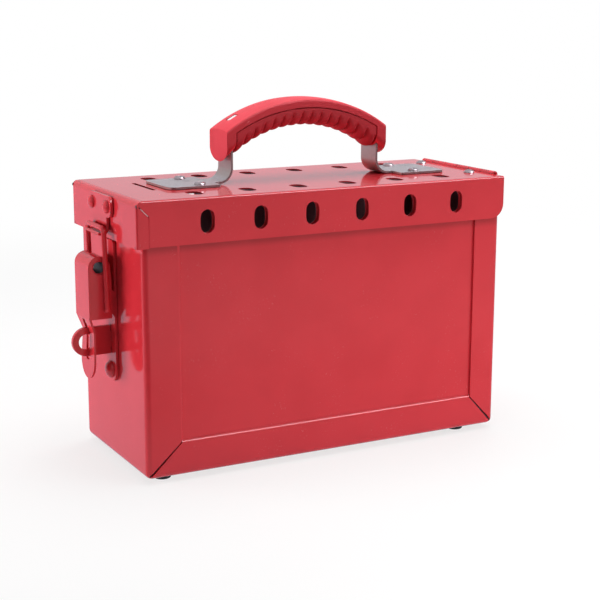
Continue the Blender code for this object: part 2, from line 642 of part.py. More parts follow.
def make_lid(assembly):
    """The lid: top, front and back skirts, and the end skirt with its tabs, in one sheet."""
    low = (LID_LEFT, LID_FRONT, END_SKIRT_BOTTOM)
    high = (LID_RIGHT, -LID_FRONT, LID_TOP)

    def end_edge(lo, hi):
        return lambda a, b: all(same(p.x, lo[0]) and same(p.z, hi[2]) for p in (a, b))

    def side_edges(lo, hi):
        return lambda a, b: (all(same(p.z, hi[2]) for p in (a, b)) and same(a.y, b.y)
                             and (same(a.y, lo[1]) or same(a.y, hi[1])))

    def corner_edges(lo, hi):
        return lambda a, b: same(a.x, b.x) and same(a.y, b.y) and same(a.x, lo[0])

    radii = [(end_edge, END_BEND), (side_edges, SIDE_BEND), (corner_edges, CORNER_BEND)]
    shell, hollow = shell_blocks("lid_shell", low, high, LID_SHEET, radii, red_paint("lid_shell"))
    hollow_through(hollow, 2, END_SKIRT_BOTTOM + LID_SHEET, END_SKIRT_BOTTOM - OVERRUN)
    hollow_through(hollow, 0, LID_RIGHT - LID_SHEET, LID_RIGHT + OVERRUN)
    cut(shell, hollow)

    # Trim the long skirts: half a millimetre shorter than the tabs, with round corners at the hinge
    tab_edge = LID_LEFT + TAB_WIDTH
    trims = bmesh.new()
    below = END_SKIRT_BOTTOM - OVERRUN
    corner_x = LID_RIGHT - SKIRT_CORNER_RADIUS
    corner = arc((corner_x, SKIRT_BOTTOM + SKIRT_CORNER_RADIUS), SKIRT_CORNER_RADIUS, 270, 360,
                 BEND_STEPS * 2)
    outline = ([(tab_edge, below), (LID_RIGHT + OVERRUN, below),
                (LID_RIGHT + OVERRUN, SKIRT_BOTTOM + SKIRT_CORNER_RADIUS)]
               + corner[::-1] + [(tab_edge, SKIRT_BOTTOM)])
    add_prism(trims, outline, "Y", LID_FRONT - OVERRUN, -LID_FRONT + OVERRUN)
    cut(shell, add_object("lid_trims", trims))

    # The seams beside the tabs: slanted from the corner, then straight down to the skirt's edge
    seams = bmesh.new()
    turn = (tab_edge, LID_TOP - TAB_WIDTH - SIDE_BEND)
    half = SEAM_WIDTH / 2
    start = (LID_LEFT + CORNER_BEND, LID_TOP - SIDE_BEND - CORNER_BEND)
    outline = [(start[0] - half, start[1] - half), (turn[0] - half, turn[1] - half),
               (turn[0] - half, below), (turn[0] + half, below),
               (turn[0] + half, turn[1] + half), (start[0] + half, start[1] + half)]
    for side in (-1, 1):
        face = side * LID_WIDTH / 2
        levels = sorted((face + side * OVERRUN, face - side * (LID_SHEET + OVERRUN / 2)))
        add_prism(seams, outline, "Y", *levels)
    cut(shell, add_object("lid_seams", seams))

    cut(shell, block("lid_hinge_notch", (LID_EDGE_AT_HINGE, -HINGE_NOTCH_HALF, LID_UNDER - OVERRUN),
                     (LID_RIGHT + OVERRUN, HINGE_NOTCH_HALF, LID_TOP + OVERRUN)))

    for name, low_y, high_y in (
            ("front_skirt_slots", LID_FRONT - OVERRUN, LID_FRONT + LID_SHEET + OVERRUN / 2),
            ("back_skirt_slots", -LID_FRONT - LID_SHEET - OVERRUN / 2, -LID_FRONT + OVERRUN)):
        cut(shell, side_slots(name, low_y, high_y))

    slots = bmesh.new()
    row = LID_WIDTH / 2 - SLOT_INSET
    for x in slot_places():
        for y in (-row, row):
            add_prism(slots, obround((x, y), SLOT_LENGTH, SLOT_WIDTH, along_first=False), "Z",
                      LID_UNDER - OVERRUN, LID_TOP + OVERRUN)
    key_slot = obround((LID_LEFT + KEY_SLOT_FROM_END, KEY_SLOT_FROM_MIDDLE), KEY_SLOT_LENGTH,
                       KEY_SLOT_WIDTH, along_first=False)
    add_prism(slots, key_slot, "Z", LID_UNDER - OVERRUN, LID_TOP + OVERRUN)
    cut(shell, add_object("lid_top_slots", slots))

    holes = bmesh.new()
    for x, y in handle_rivet_places():
        add_turned(holes, plug_profile(RIVET_SHANK_RADIUS + RIVET_HOLE_CLEARANCE,
                                       LID_SHEET + OVERRUN * 2),
                   (x, y, LID_UNDER - OVERRUN), (0, 0, 1), RIVET_STEPS)
    for x, y in lid_hinge_rivet_places():
        add_turned(holes, plug_profile(HINGE_RIVET_SHANK_RADIUS + RIVET_HOLE_CLEARANCE,
                                       LID_SHEET + OVERRUN * 2),
                   (x, y, LID_UNDER - OVERRUN), (0, 0, 1), RIVET_STEPS)
    for y, z in keeper_rivet_places():
        add_turned(holes, plug_profile(RIVET_SHANK_RADIUS + RIVET_HOLE_CLEARANCE,
                                       LID_SHEET + OVERRUN * 2),
                   (LID_LEFT - OVERRUN, y, z), (1, 0, 0), RIVET_STEPS)
    cut(shell, add_object("lid_holes", holes))
    carry_with_cutters(assembly, shell, assembly.lid)


def carry_with_cutters(assembly, piece, carrier):
    """Hang a piece and every shape that its Booleans use on one carrier."""
    for modifier in piece.modifiers:
        if modifier.type == "BOOLEAN":
            carry_with_cutters(assembly, modifier.object, carrier)
    assembly.carry(piece, carrier)


def handle_rivet_places():
    """The handle's four rivets, left foot first."""
    half = FOOT_PLATE_WIDTH / 2 - HANDLE_RIVET_FROM_SIDE
    return [(HANDLE_CENTRE + side * HANDLE_RIVET_REACH, y) for side in (-1, 1) for y in (-half, half)]


def lid_hinge_rivet_places():
    """The two rivets that hold the hinge under the lid."""
    x = LID_EDGE_AT_HINGE - LID_HINGE_RIVET_INSET
    y = HINGE_LENGTH / 2 - LID_HINGE_RIVET_FROM_END
    return [(x, -y), (x, y)]


def body_hinge_rivet_places():
    """The two rivets that hold the hinge to the end wall."""
    y = HINGE_LENGTH / 2 - BODY_HINGE_RIVET_FROM_END
    z = HINGE_Z - BODY_HINGE_RIVET_DROP
    return [(-y, z), (y, z)]


def keeper_rivet_places():
    """The keeper's two rivets."""
    z = LID_TOP - KEEPER_DROP - KEEPER_HEIGHT / 2
    return [(-KEEPER_RIVET_SPAN / 2, z), (KEEPER_RIVET_SPAN / 2, z)]


def base_rivet_levels():
    """Heights of the latch base's two rivets."""
    return [BODY_FLOOR + BASE_RIVET_LOW, BODY_FLOOR + BASE_RIVET_HIGH]


def blind_rivet_profile(grip):
    """A blind rivet's closed section, with its head on the plus side of zero.

    grip is the thickness that it holds, with the small gaps between the sheets.
    """
    bore = RIVET_BORE_RADIUS
    rim = RIVET_HEAD_HEIGHT / 4
    head = [(RIVET_SHANK_RADIUS, GAP), (RIVET_HEAD_RADIUS, GAP), (RIVET_HEAD_RADIUS, GAP + rim)]
    for i in range(1, DOME_STEPS):
        angle = math.radians(90 * i / DOME_STEPS)
        reach = RIVET_SHANK_RADIUS + (RIVET_HEAD_RADIUS - RIVET_SHANK_RADIUS) * math.cos(angle)
        head.append((reach, GAP + rim + (RIVET_HEAD_HEIGHT - rim) * math.sin(angle)))
    head.append((bore, GAP + RIVET_HEAD_HEIGHT))
    tail_top = -grip - GAP
    tail_end = tail_top - RIVET_TAIL_LENGTH
    tail = [(bore, tail_end), (RIVET_TAIL_RADIUS * TAIL_END_SHARE, tail_end),
            (RIVET_TAIL_RADIUS, tail_top - RIVET_TAIL_LENGTH / 2), (RIVET_TAIL_RADIUS, tail_top),
            (RIVET_SHANK_RADIUS, tail_top)]
    return head + tail


def round_rivet_profile(grip, head_radius, head_height, shank_radius):
    """A solid rivet with a round head outside and a flatter set head inside."""
    head = [(0, GAP + head_height)]
    for i in range(1, DOME_STEPS + 1):
        angle = math.radians(90 * i / DOME_STEPS)
        head.append((head_radius * math.sin(angle), GAP + head_height * math.cos(angle)))
    inner = -grip - GAP
    set_height = head_height / 2
    set_radius = head_radius * TAIL_END_SHARE
    return head + [(shank_radius, GAP), (shank_radius, inner), (set_radius, inner),
                   (set_radius * TAIL_END_SHARE, inner - set_height), (0, inner - set_height)]


def make_rivets(assembly, names, places, outward, profile, carrier):
    """One rivet for each name; places are where the heads' seats lie."""
    for name, place in zip(names, places):
        builder = bmesh.new()
        add_turned(builder, profile, place, outward, RIVET_STEPS)
        assembly.carry(add_object(name, builder, bright_steel(name), 35), carrier)


def strap_path():
    """The strap's outer face from its left foot to its right one, as (x, z) pairs."""
    outer = STRAP_HALF_SPAN
    shoulder_reach = outer - STRAP_SHOULDER_RUN
    foot_top = LID_TOP + GAP + STRAP_SHEET
    bend_centre = (-outer - FOOT_BEND, foot_top + FOOT_BEND)
    left = [(-FOOT_PLATE_INNER - FOOT_BEND, foot_top)]
    left += arc(bend_centre, FOOT_BEND, 270, 360, BEND_STEPS * 2)
    crown_centre = LID_TOP + STRAP_RISE + STRAP_SHEET / 2 - STRAP_CROWN_RADIUS
    slope = math.asin(shoulder_reach / STRAP_CROWN_RADIUS)
    shoulder_radius = STRAP_SHOULDER_RUN / (1 - math.sin(slope))
    shoulder_z = crown_centre + STRAP_CROWN_RADIUS * math.cos(slope)
    centre = (-outer + shoulder_radius, shoulder_z - shoulder_radius * math.cos(slope))
    left += arc(centre, shoulder_radius, 180, 90 + math.degrees(slope), BEND_STEPS * 2)
    top = arc((0, crown_centre), STRAP_CROWN_RADIUS, 90 + math.degrees(slope), 90, BEND_STEPS * 2)
    half = left + top[1:]
    path = half + [(-x, z) for x, z in half[-2::-1]]
    return [(HANDLE_CENTRE + x, z) for x, z in path]


def make_strap(assembly):
    """The steel strap: one flat bar with two wide feet."""
    outline = ribbon(strap_path(), STRAP_SHEET)
    strap = prism("handle_strap", outline, "Y", -STRAP_WIDTH / 2, STRAP_WIDTH / 2,
                  material("strap_zinc", (0.55, 0.54, 0.55), 0.42, 1.0), 30)
    low = LID_TOP + GAP
    for name, side in (("strap_left_foot", -1), ("strap_right_foot", 1)):
        ends = sorted((HANDLE_CENTRE + side * FOOT_PLATE_REACH, HANDLE_CENTRE + side * FOOT_PLATE_INNER))
        round_corner = FOOT_PLATE_CORNER
        square = STRAP_SHEET
        radii = ((round_corner, square, square, round_corner) if side < 0
                 else (square, round_corner, round_corner, square))
        half = FOOT_PLATE_WIDTH / 2
        outline = rounded_rectangle((ends[0], -half), (ends[1], half), radii, BEND_STEPS * 2)
        fuse(strap, prism(name, outline, "Z", low, low + STRAP_SHEET))
    holes = bmesh.new()
    for x, y in handle_rivet_places():
        add_turned(holes, plug_profile(RIVET_SHANK_RADIUS + RIVET_HOLE_CLEARANCE,
                                       STRAP_SHEET + OVERRUN * 2),
                   (x, y, low - OVERRUN), (0, 0, 1), RIVET_STEPS)
    cut(strap, add_object("strap_holes", holes))
    carry_with_cutters(assembly, strap, assembly.lid)


def grip_level(radius, along):
    """Height of a curve with the grip's centre, at a distance from the grip's middle."""
    centre = LID_TOP + GRIP_RISE - GRIP_CROWN_RADIUS
    return centre + math.sqrt(radius ** 2 - along ** 2)


def loft(name, sections, finish=None, smooth_angle=None):
    """Skin a row of closed sections, with flat ends."""
    builder = bmesh.new()
    rings = [[builder.verts.new(point) for point in section] for section in sections]
    count = len(rings[0])
    for ring, following in zip(rings, rings[1:]):
        for i in range(count):
            after = (i + 1) % count
            builder.faces.new((ring[i], ring[after], following[after], following[i]))
    builder.faces.new(rings[0][::-1])
    builder.faces.new(rings[-1])
    return add_object(name, builder, finish, smooth_angle)


def grip_section(along, top_radius, bottom_radius, half_width, fillet, rib=0.0):
    """One upright section of the grip: flat sides, a round belly and small top fillets."""
    x = HANDLE_CENTRE + along
    top = grip_level(top_radius, along)
    bottom = grip_level(bottom_radius, along)
    shoulder = bottom + GRIP_BELLY
    points = []
    if fillet > 0:
        for i in range(BEND_STEPS):
            angle = math.radians(90 * i / (BEND_STEPS - 1))
            y = half_width - fillet + fillet * math.cos(angle)
            points.append((y, top - GRIP_CROWNING - fillet + fillet * math.sin(angle)))
        points.append((0, top))
        points += [(-y, z) for y, z in points[-2::-1]]
    else:
        points += [(half_width, top), (-half_width, top)]
    belly_steps = BEND_STEPS * 2 + 2
    for i in range(belly_steps + 1):
        angle = math.radians(180 + 180 * i / belly_steps)
        depth = max(-math.sin(angle), 0)
        lift = rib * depth ** 0.5
        points.append((half_width * math.cos(angle), shoulder - (GRIP_BELLY - lift) * depth))
    return [(x, y, z) for y, z in points]


def spread(half_length, count):
    """Distances from minus to plus the half length, evenly spaced."""
    return [half_length * (2 * i / count - 1) for i in range(count + 1)]


def strap_channel(name):
    """Cutter for the room that the strap takes in the grip."""
    path = strap_path()
    leg_start = BEND_STEPS * 2 + 1
    outer = path[leg_start:len(path) - leg_start]
    raised = ribbon(outer, -GAP)[len(outer):][::-1]
    outline = ribbon(raised, STRAP_SHEET + 2 * GAP)
    half = STRAP_WIDTH / 2 + GAP
    return prism(name, outline, "Y", -half, half)


def make_grip(assembly):
    """The moulded grip: a cover over the strap and a ribbed insert for the fingers."""
    finish = material("grip_plastic", (0.66, 0.06, 0.075), 0.55)
    bottom_radius = GRIP_CROWN_RADIUS - GRIP_DEPTH
    sections = [grip_section(along, GRIP_CROWN_RADIUS, bottom_radius, GRIP_HALF_WIDTH, GRIP_EDGE_FILLET)
                for along in spread(GRIP_HALF_LENGTH, 24)]
    cover = loft("grip_cover", sections, finish, 35)
    seam_radius = GRIP_CROWN_RADIUS - GRIP_SEAM_DEPTH
    reach = INSERT_HALF_LENGTH + GAP
    lower = [grip_section(along, seam_radius, bottom_radius - GRIP_DEPTH, GRIP_HALF_WIDTH + OVERRUN, 0)
             for along in spread(reach, 20)]
    cut(cover, loft("grip_lower_half", lower))
    cut(cover, strap_channel("grip_cover_channel"))
    windows = bmesh.new()
    for side in (-1, 1):
        x = HANDLE_CENTRE + side * WINDOW_REACH
        strap_level = LID_TOP + STRAP_RISE - (STRAP_CROWN_RADIUS - math.sqrt(
            STRAP_CROWN_RADIUS ** 2 - WINDOW_REACH ** 2))
        outline = rounded_rectangle((x - WINDOW_LENGTH / 2, GAP), (x + WINDOW_LENGTH / 2, WINDOW_WIDTH),
                                    [WINDOW_WIDTH / 5] * 4, 2)
        add_prism(windows, outline, "Z", strap_level, LID_TOP + GRIP_RISE + OVERRUN)
    cut(cover, add_object("grip_windows", windows))
    carry_with_cutters(assembly, cover, assembly.lid)

    tip_radius = GRIP_CROWN_RADIUS - INSERT_DEPTH
    groove_shares = (1.0, 0.15, 0.15)
    steps_per_rib = len(groove_shares)
    sections = []
    for i, along in enumerate(spread(INSERT_HALF_LENGTH, RIB_COUNT * steps_per_rib)):
        groove = RIB_DEPTH * groove_shares[i % steps_per_rib]
        sections.append(grip_section(along, seam_radius - GAP, tip_radius,
                                     GRIP_HALF_WIDTH - INSERT_SETBACK, 0, groove))
    insert = loft("grip_insert", sections, material("insert_plastic", (0.6, 0.05, 0.065), 0.6), 50)
    cut(insert, strap_channel("grip_insert_channel"))
    carry_with_cutters(assembly, insert, assembly.lid)


def knuckle_spans():
    """Ranges along Y of the hinge's knuckles, from the front."""
    pitch = HINGE_LENGTH / KNUCKLE_COUNT
    start = -HINGE_LENGTH / 2
    return [(start + pitch * i, start + pitch * (i + 1)) for i in range(KNUCKLE_COUNT)]


def knuckle_notches(name, spans, low, high):
    """Cutter that clears the other leaf's knuckles, over a box in X and Z."""
    builder = bmesh.new()
    for near, far in spans:
        near_end = near - KNUCKLE_GAP / 2 if near > -HINGE_LENGTH / 2 else near - OVERRUN
        far_end = far + KNUCKLE_GAP / 2 if far < HINGE_LENGTH / 2 else far + OVERRUN
        outline = [(low[0], low[1]), (high[0], low[1]), (high[0], high[1]), (low[0], high[1])]
        add_prism(builder, outline, "Y", near_end, far_end)
    return add_object(name, builder)


def make_hinge(assembly):
    """The hinge: two leaves with curled knuckles, and a pin."""
    centre = (HINGE_X, HINGE_Z)
    outer = KNUCKLE_RADIUS
    inner = KNUCKLE_RADIUS - LEAF_SHEET
    reach = outer + GAP
    half = HINGE_LENGTH / 2
    spans = knuckle_spans()

    # Body leaf: up the outside of the end wall and curled over the pin to the right
    foot = HINGE_Z - BODY_LEAF_WIDTH
    curl = arc(centre, outer, 180, 180 - HINGE_CURL, BARREL_STEPS)
    back = arc(centre, inner, 180 - HINGE_CURL, 180, BARREL_STEPS)
    outline = [(HINGE_X - outer, foot)] + curl + back + [(HINGE_X - inner, foot)]
    leaf = prism("hinge_leaf_body", outline, "Y", -half, half, red_paint("hinge_leaf_body"), 40)
    cut(leaf, knuckle_notches("body_leaf_notches", spans[1::2],
                              (HINGE_X - reach * 2, HINGE_Z - reach),
                              (HINGE_X + reach * 2, HINGE_Z + reach * 2)))
    holes = bmesh.new()
    for y, z in body_hinge_rivet_places():
        add_turned(holes, plug_profile(HINGE_RIVET_SHANK_RADIUS + RIVET_HOLE_CLEARANCE,
                                       LEAF_SHEET + OVERRUN * 2),
                   (HINGE_X - outer - OVERRUN, y, z), (1, 0, 0), RIVET_STEPS)
    cut(leaf, add_object("body_leaf_holes", holes))
    assembly.carry(leaf, assembly.frame)

    # Lid leaf: flat under the lid's sheet and curled up round the pin
    end = LID_EDGE_AT_HINGE - LID_LEAF_WIDTH
    curl = arc(centre, outer, 270, 270 + HINGE_CURL, BARREL_STEPS)
    back = arc(centre, inner, 270 + HINGE_CURL, 270, BARREL_STEPS)
    outline = ([(end, LID_LEAF_LOW)] + curl + back + [(end, LID_LEAF_LOW + LEAF_SHEET)])
    lid_leaf = prism("hinge_leaf_lid", outline, "Y", -half, half, red_paint("hinge_leaf_lid"), 40)
    cut(lid_leaf, knuckle_notches("lid_leaf_notches", spans[0::2],
                                  (HINGE_X - reach, HINGE_Z - reach * 2),
                                  (HINGE_X + reach * 2, HINGE_Z + reach * 2)))
    holes = bmesh.new()
    for x, y in lid_hinge_rivet_places():
        add_turned(holes, plug_profile(HINGE_RIVET_SHANK_RADIUS + RIVET_HOLE_CLEARANCE,
                                       LEAF_SHEET + OVERRUN * 2),
                   (x, y, LID_LEAF_LOW - OVERRUN), (0, 0, 1), RIVET_STEPS)
    cut(lid_leaf, add_object("lid_leaf_holes", holes))
    carry_with_cutters(assembly, lid_leaf, assembly.lid)

    builder = bmesh.new()
    length = HINGE_LENGTH - 2 * PIN_RECESS
    add_turned(builder, plug_profile(PIN_RADIUS, length), (HINGE_X, -length / 2, HINGE_Z), (0, 1, 0),
               BARREL_STEPS)
    assembly.carry(add_object("hinge_pin", builder, bright_steel("hinge_pin"), 40), assembly.frame)


def make_keeper(assembly):
    """The keeper: a plate riveted to the lid's end, drawn down into a hook for the bail."""
    back = LID_LEFT - GAP
    face = back - KEEPER_SHEET
    top = LID_TOP - KEEPER_DROP
    hook_z = LID_TOP - HOOK_DROP
    centre = (face - HOOK_INNER_RADIUS, hook_z)
    outer = HOOK_INNER_RADIUS + HOOK_SHEET
    lip = 270 - HOOK_LIP_ANGLE
    profile = ([(back, top), (face, top)]
               + arc(centre, HOOK_INNER_RADIUS, 360, lip, BEND_STEPS * 2)
               + arc(centre, outer, lip, 360, BEND_STEPS * 2)
               + [(back, hook_z + HOOK_SHEET)])
    keeper = prism("keeper", profile, "Y", -KEEPER_WIDTH / 2, KEEPER_WIDTH / 2, red_paint("keeper"), 40)
    low = top - KEEPER_HEIGHT
    half = KEEPER_WIDTH / 2
    neck = HOOK_WIDTH / 2
    below = hook_z - outer - OVERRUN
    corner = KEEPER_CORNER
    outline = ([(-neck, below), (neck, below), (neck, low)]
               + arc((half - corner, low + corner), corner, 270, 360, BEND_STEPS)
               + arc((half - corner, top - corner), corner, 0, 90, BEND_STEPS)
               + arc((-half + corner, top - corner), corner, 90, 180, BEND_STEPS)
               + arc((-half + corner, low + corner), corner, 180, 270, BEND_STEPS)
               + [(-neck, low)])
    reach = outer * 2
    trim_to(keeper, prism("keeper_blank", outline, "X", face - reach, back + OVERRUN))
    holes = bmesh.new()
    for y, z in keeper_rivet_places():
        add_turned(holes, plug_profile(RIVET_SHANK_RADIUS + RIVET_HOLE_CLEARANCE,
                                       KEEPER_SHEET + OVERRUN * 2),
                   (face - OVERRUN, y, z), (1, 0, 0), RIVET_STEPS)
    cut(keeper, add_object("keeper_holes", holes))
    carry_with_cutters(assembly, keeper, assembly.lid)


def make_latch_base(assembly):
    """The base plate on the body's end, with two ears for the lever's pivot."""
    back = BODY_LEFT - GAP
    low = BODY_FLOOR + BASE_BOTTOM
    high = BODY_FLOOR + BASE_TOP
    half = BASE_WIDTH / 2
    outline = rounded_rectangle((-half, low), (half, high), (half, half, half / 4, half / 4),
                                BEND_STEPS * 2)
    base = prism("latch_base", outline, "X", BASE_FACE, back, red_paint("latch_base"), 40)
    left, right = (math.radians(angle) for angle in EAR_CROSSING_ANGLES)
    bend_z = PIVOT_Z - EAR_ARM_DROP
    root_x = BASE_FACE + BASE_SHEET / 2
    boss = arc((PIVOT_X, PIVOT_Z), EAR_RADIUS, EAR_CROSSING_ANGLES[1] - 360, EAR_CROSSING_ANGLES[0],
               BARREL_STEPS)
    profile = boss + [(PIVOT_X + EAR_RADIUS * math.cos(left), bend_z),
                      (root_x, PIVOT_Z - EAR_ROOT_BOTTOM), (root_x, PIVOT_Z - EAR_ROOT_TOP),
                      (PIVOT_X + EAR_RADIUS * math.cos(right), bend_z)]
    for name, side in (("latch_front_ear", -1), ("latch_back_ear", 1)):
        levels = sorted((side * half, side * (half - EAR_SHEET)))
        fuse(base, prism(name, profile, "Y", *levels))
    holes = bmesh.new()
    add_turned(holes, plug_profile(TUBE_PIN_RADIUS + TUBE_PIN_CLEARANCE, BASE_WIDTH + OVERRUN * 2),
               (PIVOT_X, -half - OVERRUN, PIVOT_Z), (0, 1, 0), RIVET_STEPS)
    for z in base_rivet_levels():
        add_turned(holes, plug_profile(SOLID_RIVET_SHANK_RADIUS + RIVET_HOLE_CLEARANCE,
                                       BASE_SHEET + OVERRUN * 2),
                   (BASE_FACE - OVERRUN, 0, z), (1, 0, 0), RIVET_STEPS)
    cut(base, add_object("latch_base_holes", holes))
    tab = EYE_TAB_HEIGHT / 2 + GAP
    middle = BODY_FLOOR + EYE_LEVEL
    cut(base, block("eye_tab_slot", (BASE_FACE - OVERRUN, -EYE_SHEET / 2 - GAP, middle - tab),
                    (back + OVERRUN, EYE_SHEET / 2 + GAP, middle + tab)))
    assembly.carry(base, assembly.frame)


def make_eye(assembly):
    """The padlock eye: a thick plate on edge, its root tab let into the base plate."""
    middle = BODY_FLOOR + EYE_LEVEL
    radius = EYE_HEIGHT / 2
    root = BASE_FACE - GAP
    tab = EYE_TAB_HEIGHT / 2
    back = BODY_LEFT - 2 * GAP
    outline = ([(root, middle - radius), (root, middle - tab), (back, middle - tab),
                (back, middle + tab), (root, middle + tab), (root, middle + radius)]
               + arc((EYE_TIP + radius, middle), radius, 90, 270, BARREL_STEPS))
    eye = prism("padlock_eye", outline, "Y", -EYE_SHEET / 2, EYE_SHEET / 2, red_paint("padlock_eye"), 40)
    hole = bmesh.new()
    add_turned(hole, plug_profile(EYE_HOLE_RADIUS, EYE_SHEET + OVERRUN * 2),
               (EYE_TIP + radius, -EYE_SHEET / 2 - OVERRUN, middle), (0, 1, 0), BARREL_STEPS * 2)
    cut(eye, add_object("padlock_eye_hole", hole))
    assembly.carry(eye, assembly.frame)


def make_lever(assembly):
    """The lever: a channel over the pivot, with a tongue that hangs over the padlock eye."""
    face = PIVOT_X - LEVER_NOSE_RADIUS
    wall_bottom = BODY_FLOOR + LEVER_WALL_BOTTOM
    knee = (face + TONGUE_KNEE_SET, BODY_FLOOR + TONGUE_KNEE_LEVEL)
    tip = (face + TONGUE_TIP_SET, BODY_FLOOR + TONGUE_TIP_LEVEL)
    nose = arc((PIVOT_X, PIVOT_Z), LEVER_NOSE_RADIUS, 180, LEVER_WRAP_END, BARREL_STEPS // 2)
    path = [tip, knee, (face, wall_bottom)] + nose
    plate = prism("latch_lever", ribbon(path, LEVER_SHEET), "Y", -LEVER_WIDTH / 2, LEVER_WIDTH / 2,
                  red_paint("latch_lever"), 40)

    # Seen from the end: full width down to the side walls, drawn in at the knee, round at the tip
    half = LEVER_WIDTH / 2
    knee_half = TONGUE_KNEE_WIDTH / 2
    tip_half = TONGUE_WIDTH / 2
    top = PIVOT_Z + LEVER_NOSE_RADIUS + OVERRUN
    tip_round = arc((0, tip[1] + tip_half), tip_half, 180, 360, BARREL_STEPS)
    outline = ([(half, top), (-half, top), (-half, wall_bottom), (-knee_half, knee[1])]
               + tip_round + [(knee_half, knee[1]), (half, wall_bottom)])
    trim_to(plate, prism("lever_blank", outline, "X", face - OVERRUN, PIVOT_X + LEVER_NOSE_RADIUS))

    back = BODY_LEFT - LEVER_WALL_BACK
    nose_side = arc((PIVOT_X, PIVOT_Z), LEVER_NOSE_RADIUS, 180, 0, BARREL_STEPS)
    wall = [(face, wall_bottom)] + nose_side + [(back, PIVOT_Z - LEVER_NOSE_RADIUS), (back, wall_bottom)]
    for name, side in (("lever_front_wall", -1), ("lever_back_wall", 1)):
        levels = sorted((side * half, side * (half - LEVER_SHEET)))
        fuse(plate, prism(name, wall, "Y", *levels))

    holes = bmesh.new()
    span = LEVER_WIDTH + OVERRUN * 2
    add_turned(holes, plug_profile(TUBE_PIN_RADIUS + TUBE_PIN_CLEARANCE, span),
               (PIVOT_X, -span / 2, PIVOT_Z), (0, 1, 0), RIVET_STEPS)
    add_turned(holes, plug_profile(BAIL_WIRE_RADIUS + TUBE_PIN_CLEARANCE, span),
               (BAIL_X, -span / 2, BAIL_Z), (0, 1, 0), BARREL_STEPS)
    cut(plate, add_object("lever_holes", holes))
    slot_half = TONGUE_SLOT_WIDTH / 2
    slot_low = (-slot_half, BODY_FLOOR + TONGUE_SLOT_BOTTOM)
    slot_high = (slot_half, BODY_FLOOR + TONGUE_SLOT_TOP)
    slot = rounded_rectangle(slot_low, slot_high, [slot_half / 2] * 4, BEND_STEPS // 2)
    cut(plate, prism("tongue_slot", slot, "X", face - OVERRUN, knee[0] + LEVER_SHEET + OVERRUN))
    carry_with_cutters(assembly, plate, assembly.lever)

    builder = bmesh.new()
    length = LEVER_WIDTH - GAP
    ring = [(TUBE_PIN_BORE, 0), (TUBE_PIN_RADIUS, 0), (TUBE_PIN_RADIUS, length), (TUBE_PIN_BORE, length)]
    add_turned(builder, ring, (PIVOT_X, -length / 2, PIVOT_Z), (0, 1, 0), RIVET_STEPS)
    assembly.carry(add_object("lever_pin", builder, bright_steel("lever_pin"), 40), assembly.frame)


def make_bail(assembly):
    """The wire bail: a bar over the hook, two legs and two ends turned into the lever."""
    leg_y = LEVER_WIDTH / 2 + GAP + BAIL_WIRE_RADIUS
    end_y = LEVER_WIDTH / 2 - LEVER_SHEET - BAIL_INTURN
    bar_x = LID_LEFT - GAP - KEEPER_SHEET - HOOK_INNER_RADIUS
    bar_z = BODY_FLOOR + BAIL_BAR_LEVEL
    low = Vector((BAIL_X, 0, BAIL_Z))
    rise = Vector((bar_x, 0, bar_z)) - low
    length = rise.length
    up = rise.normalized()
    radius = BAIL_CORNER_RADIUS
    steps = BEND_STEPS * 2
    flat = [(end_y, 0)]
    flat += arc((leg_y - BAIL_WIRE_RADIUS, BAIL_WIRE_RADIUS), BAIL_WIRE_RADIUS, 270, 360, BEND_STEPS)
    flat += arc((leg_y - radius, length - radius), radius, 0, 90, steps)
    flat += [(-y, along) for y, along in flat[::-1]]
    path = [low + up * along + Vector((0, y, 0)) for y, along in flat]
    side = up.cross(Vector((0, 1, 0)))
    builder = bmesh.new()
    add_tube(builder, path, BAIL_WIRE_RADIUS, WIRE_SIDES, side)
    assembly.carry(add_object("latch_bail", builder, red_paint("latch_bail"), 60), assembly.bail)


def make_fasteners(assembly):
    """Every rivet on the box."""
    foot_seat = LID_TOP + GAP + STRAP_SHEET
    make_rivets(assembly,
                ("handle_rivet_left_front", "handle_rivet_left_back",
                 "handle_rivet_right_front", "handle_rivet_right_back"),
                [(x, y, foot_seat) for x, y in handle_rivet_places()], (0, 0, 1),
                blind_rivet_profile(STRAP_SHEET + GAP + LID_SHEET), assembly.lid)

    keeper_face = LID_LEFT - GAP - KEEPER_SHEET
    make_rivets(assembly, ("keeper_rivet_front", "keeper_rivet_back"),
                [(keeper_face, y, z) for y, z in keeper_rivet_places()], (-1, 0, 0),
                round_rivet_profile(KEEPER_SHEET + GAP + LID_SHEET, RIVET_HEAD_RADIUS,
                                    RIVET_HEAD_HEIGHT, RIVET_SHANK_RADIUS), assembly.lid)

    make_rivets(assembly, ("hinge_lid_rivet_front", "hinge_lid_rivet_back"),
                [(x, y, LID_TOP) for x, y in lid_hinge_rivet_places()], (0, 0, 1),
                round_rivet_profile(LID_SHEET + GAP + LEAF_SHEET, HINGE_RIVET_HEAD_RADIUS,
                                    HINGE_RIVET_HEAD_HEIGHT, HINGE_RIVET_SHANK_RADIUS), assembly.lid)

    leaf_face = BODY_RIGHT + GAP + LEAF_SHEET
    make_rivets(assembly, ("hinge_body_rivet_front", "hinge_body_rivet_back"),
                [(leaf_face, y, z) for y, z in body_hinge_rivet_places()], (1, 0, 0),
                round_rivet_profile(BODY_SHEET + GAP + LEAF_SHEET, HINGE_RIVET_HEAD_RADIUS,
                                    HINGE_RIVET_HEAD_HEIGHT, HINGE_RIVET_SHANK_RADIUS), assembly.frame)

    make_rivets(assembly, ("latch_rivet_low", "latch_rivet_high"),
                [(BASE_FACE, 0, z) for z in base_rivet_levels()], (-1, 0, 0),
                round_rivet_profile(BASE_SHEET + GAP + BODY_SHEET, SOLID_RIVET_HEAD_RADIUS,
                                    SOLID_RIVET_HEAD_HEIGHT, SOLID_RIVET_SHANK_RADIUS), assembly.frame)


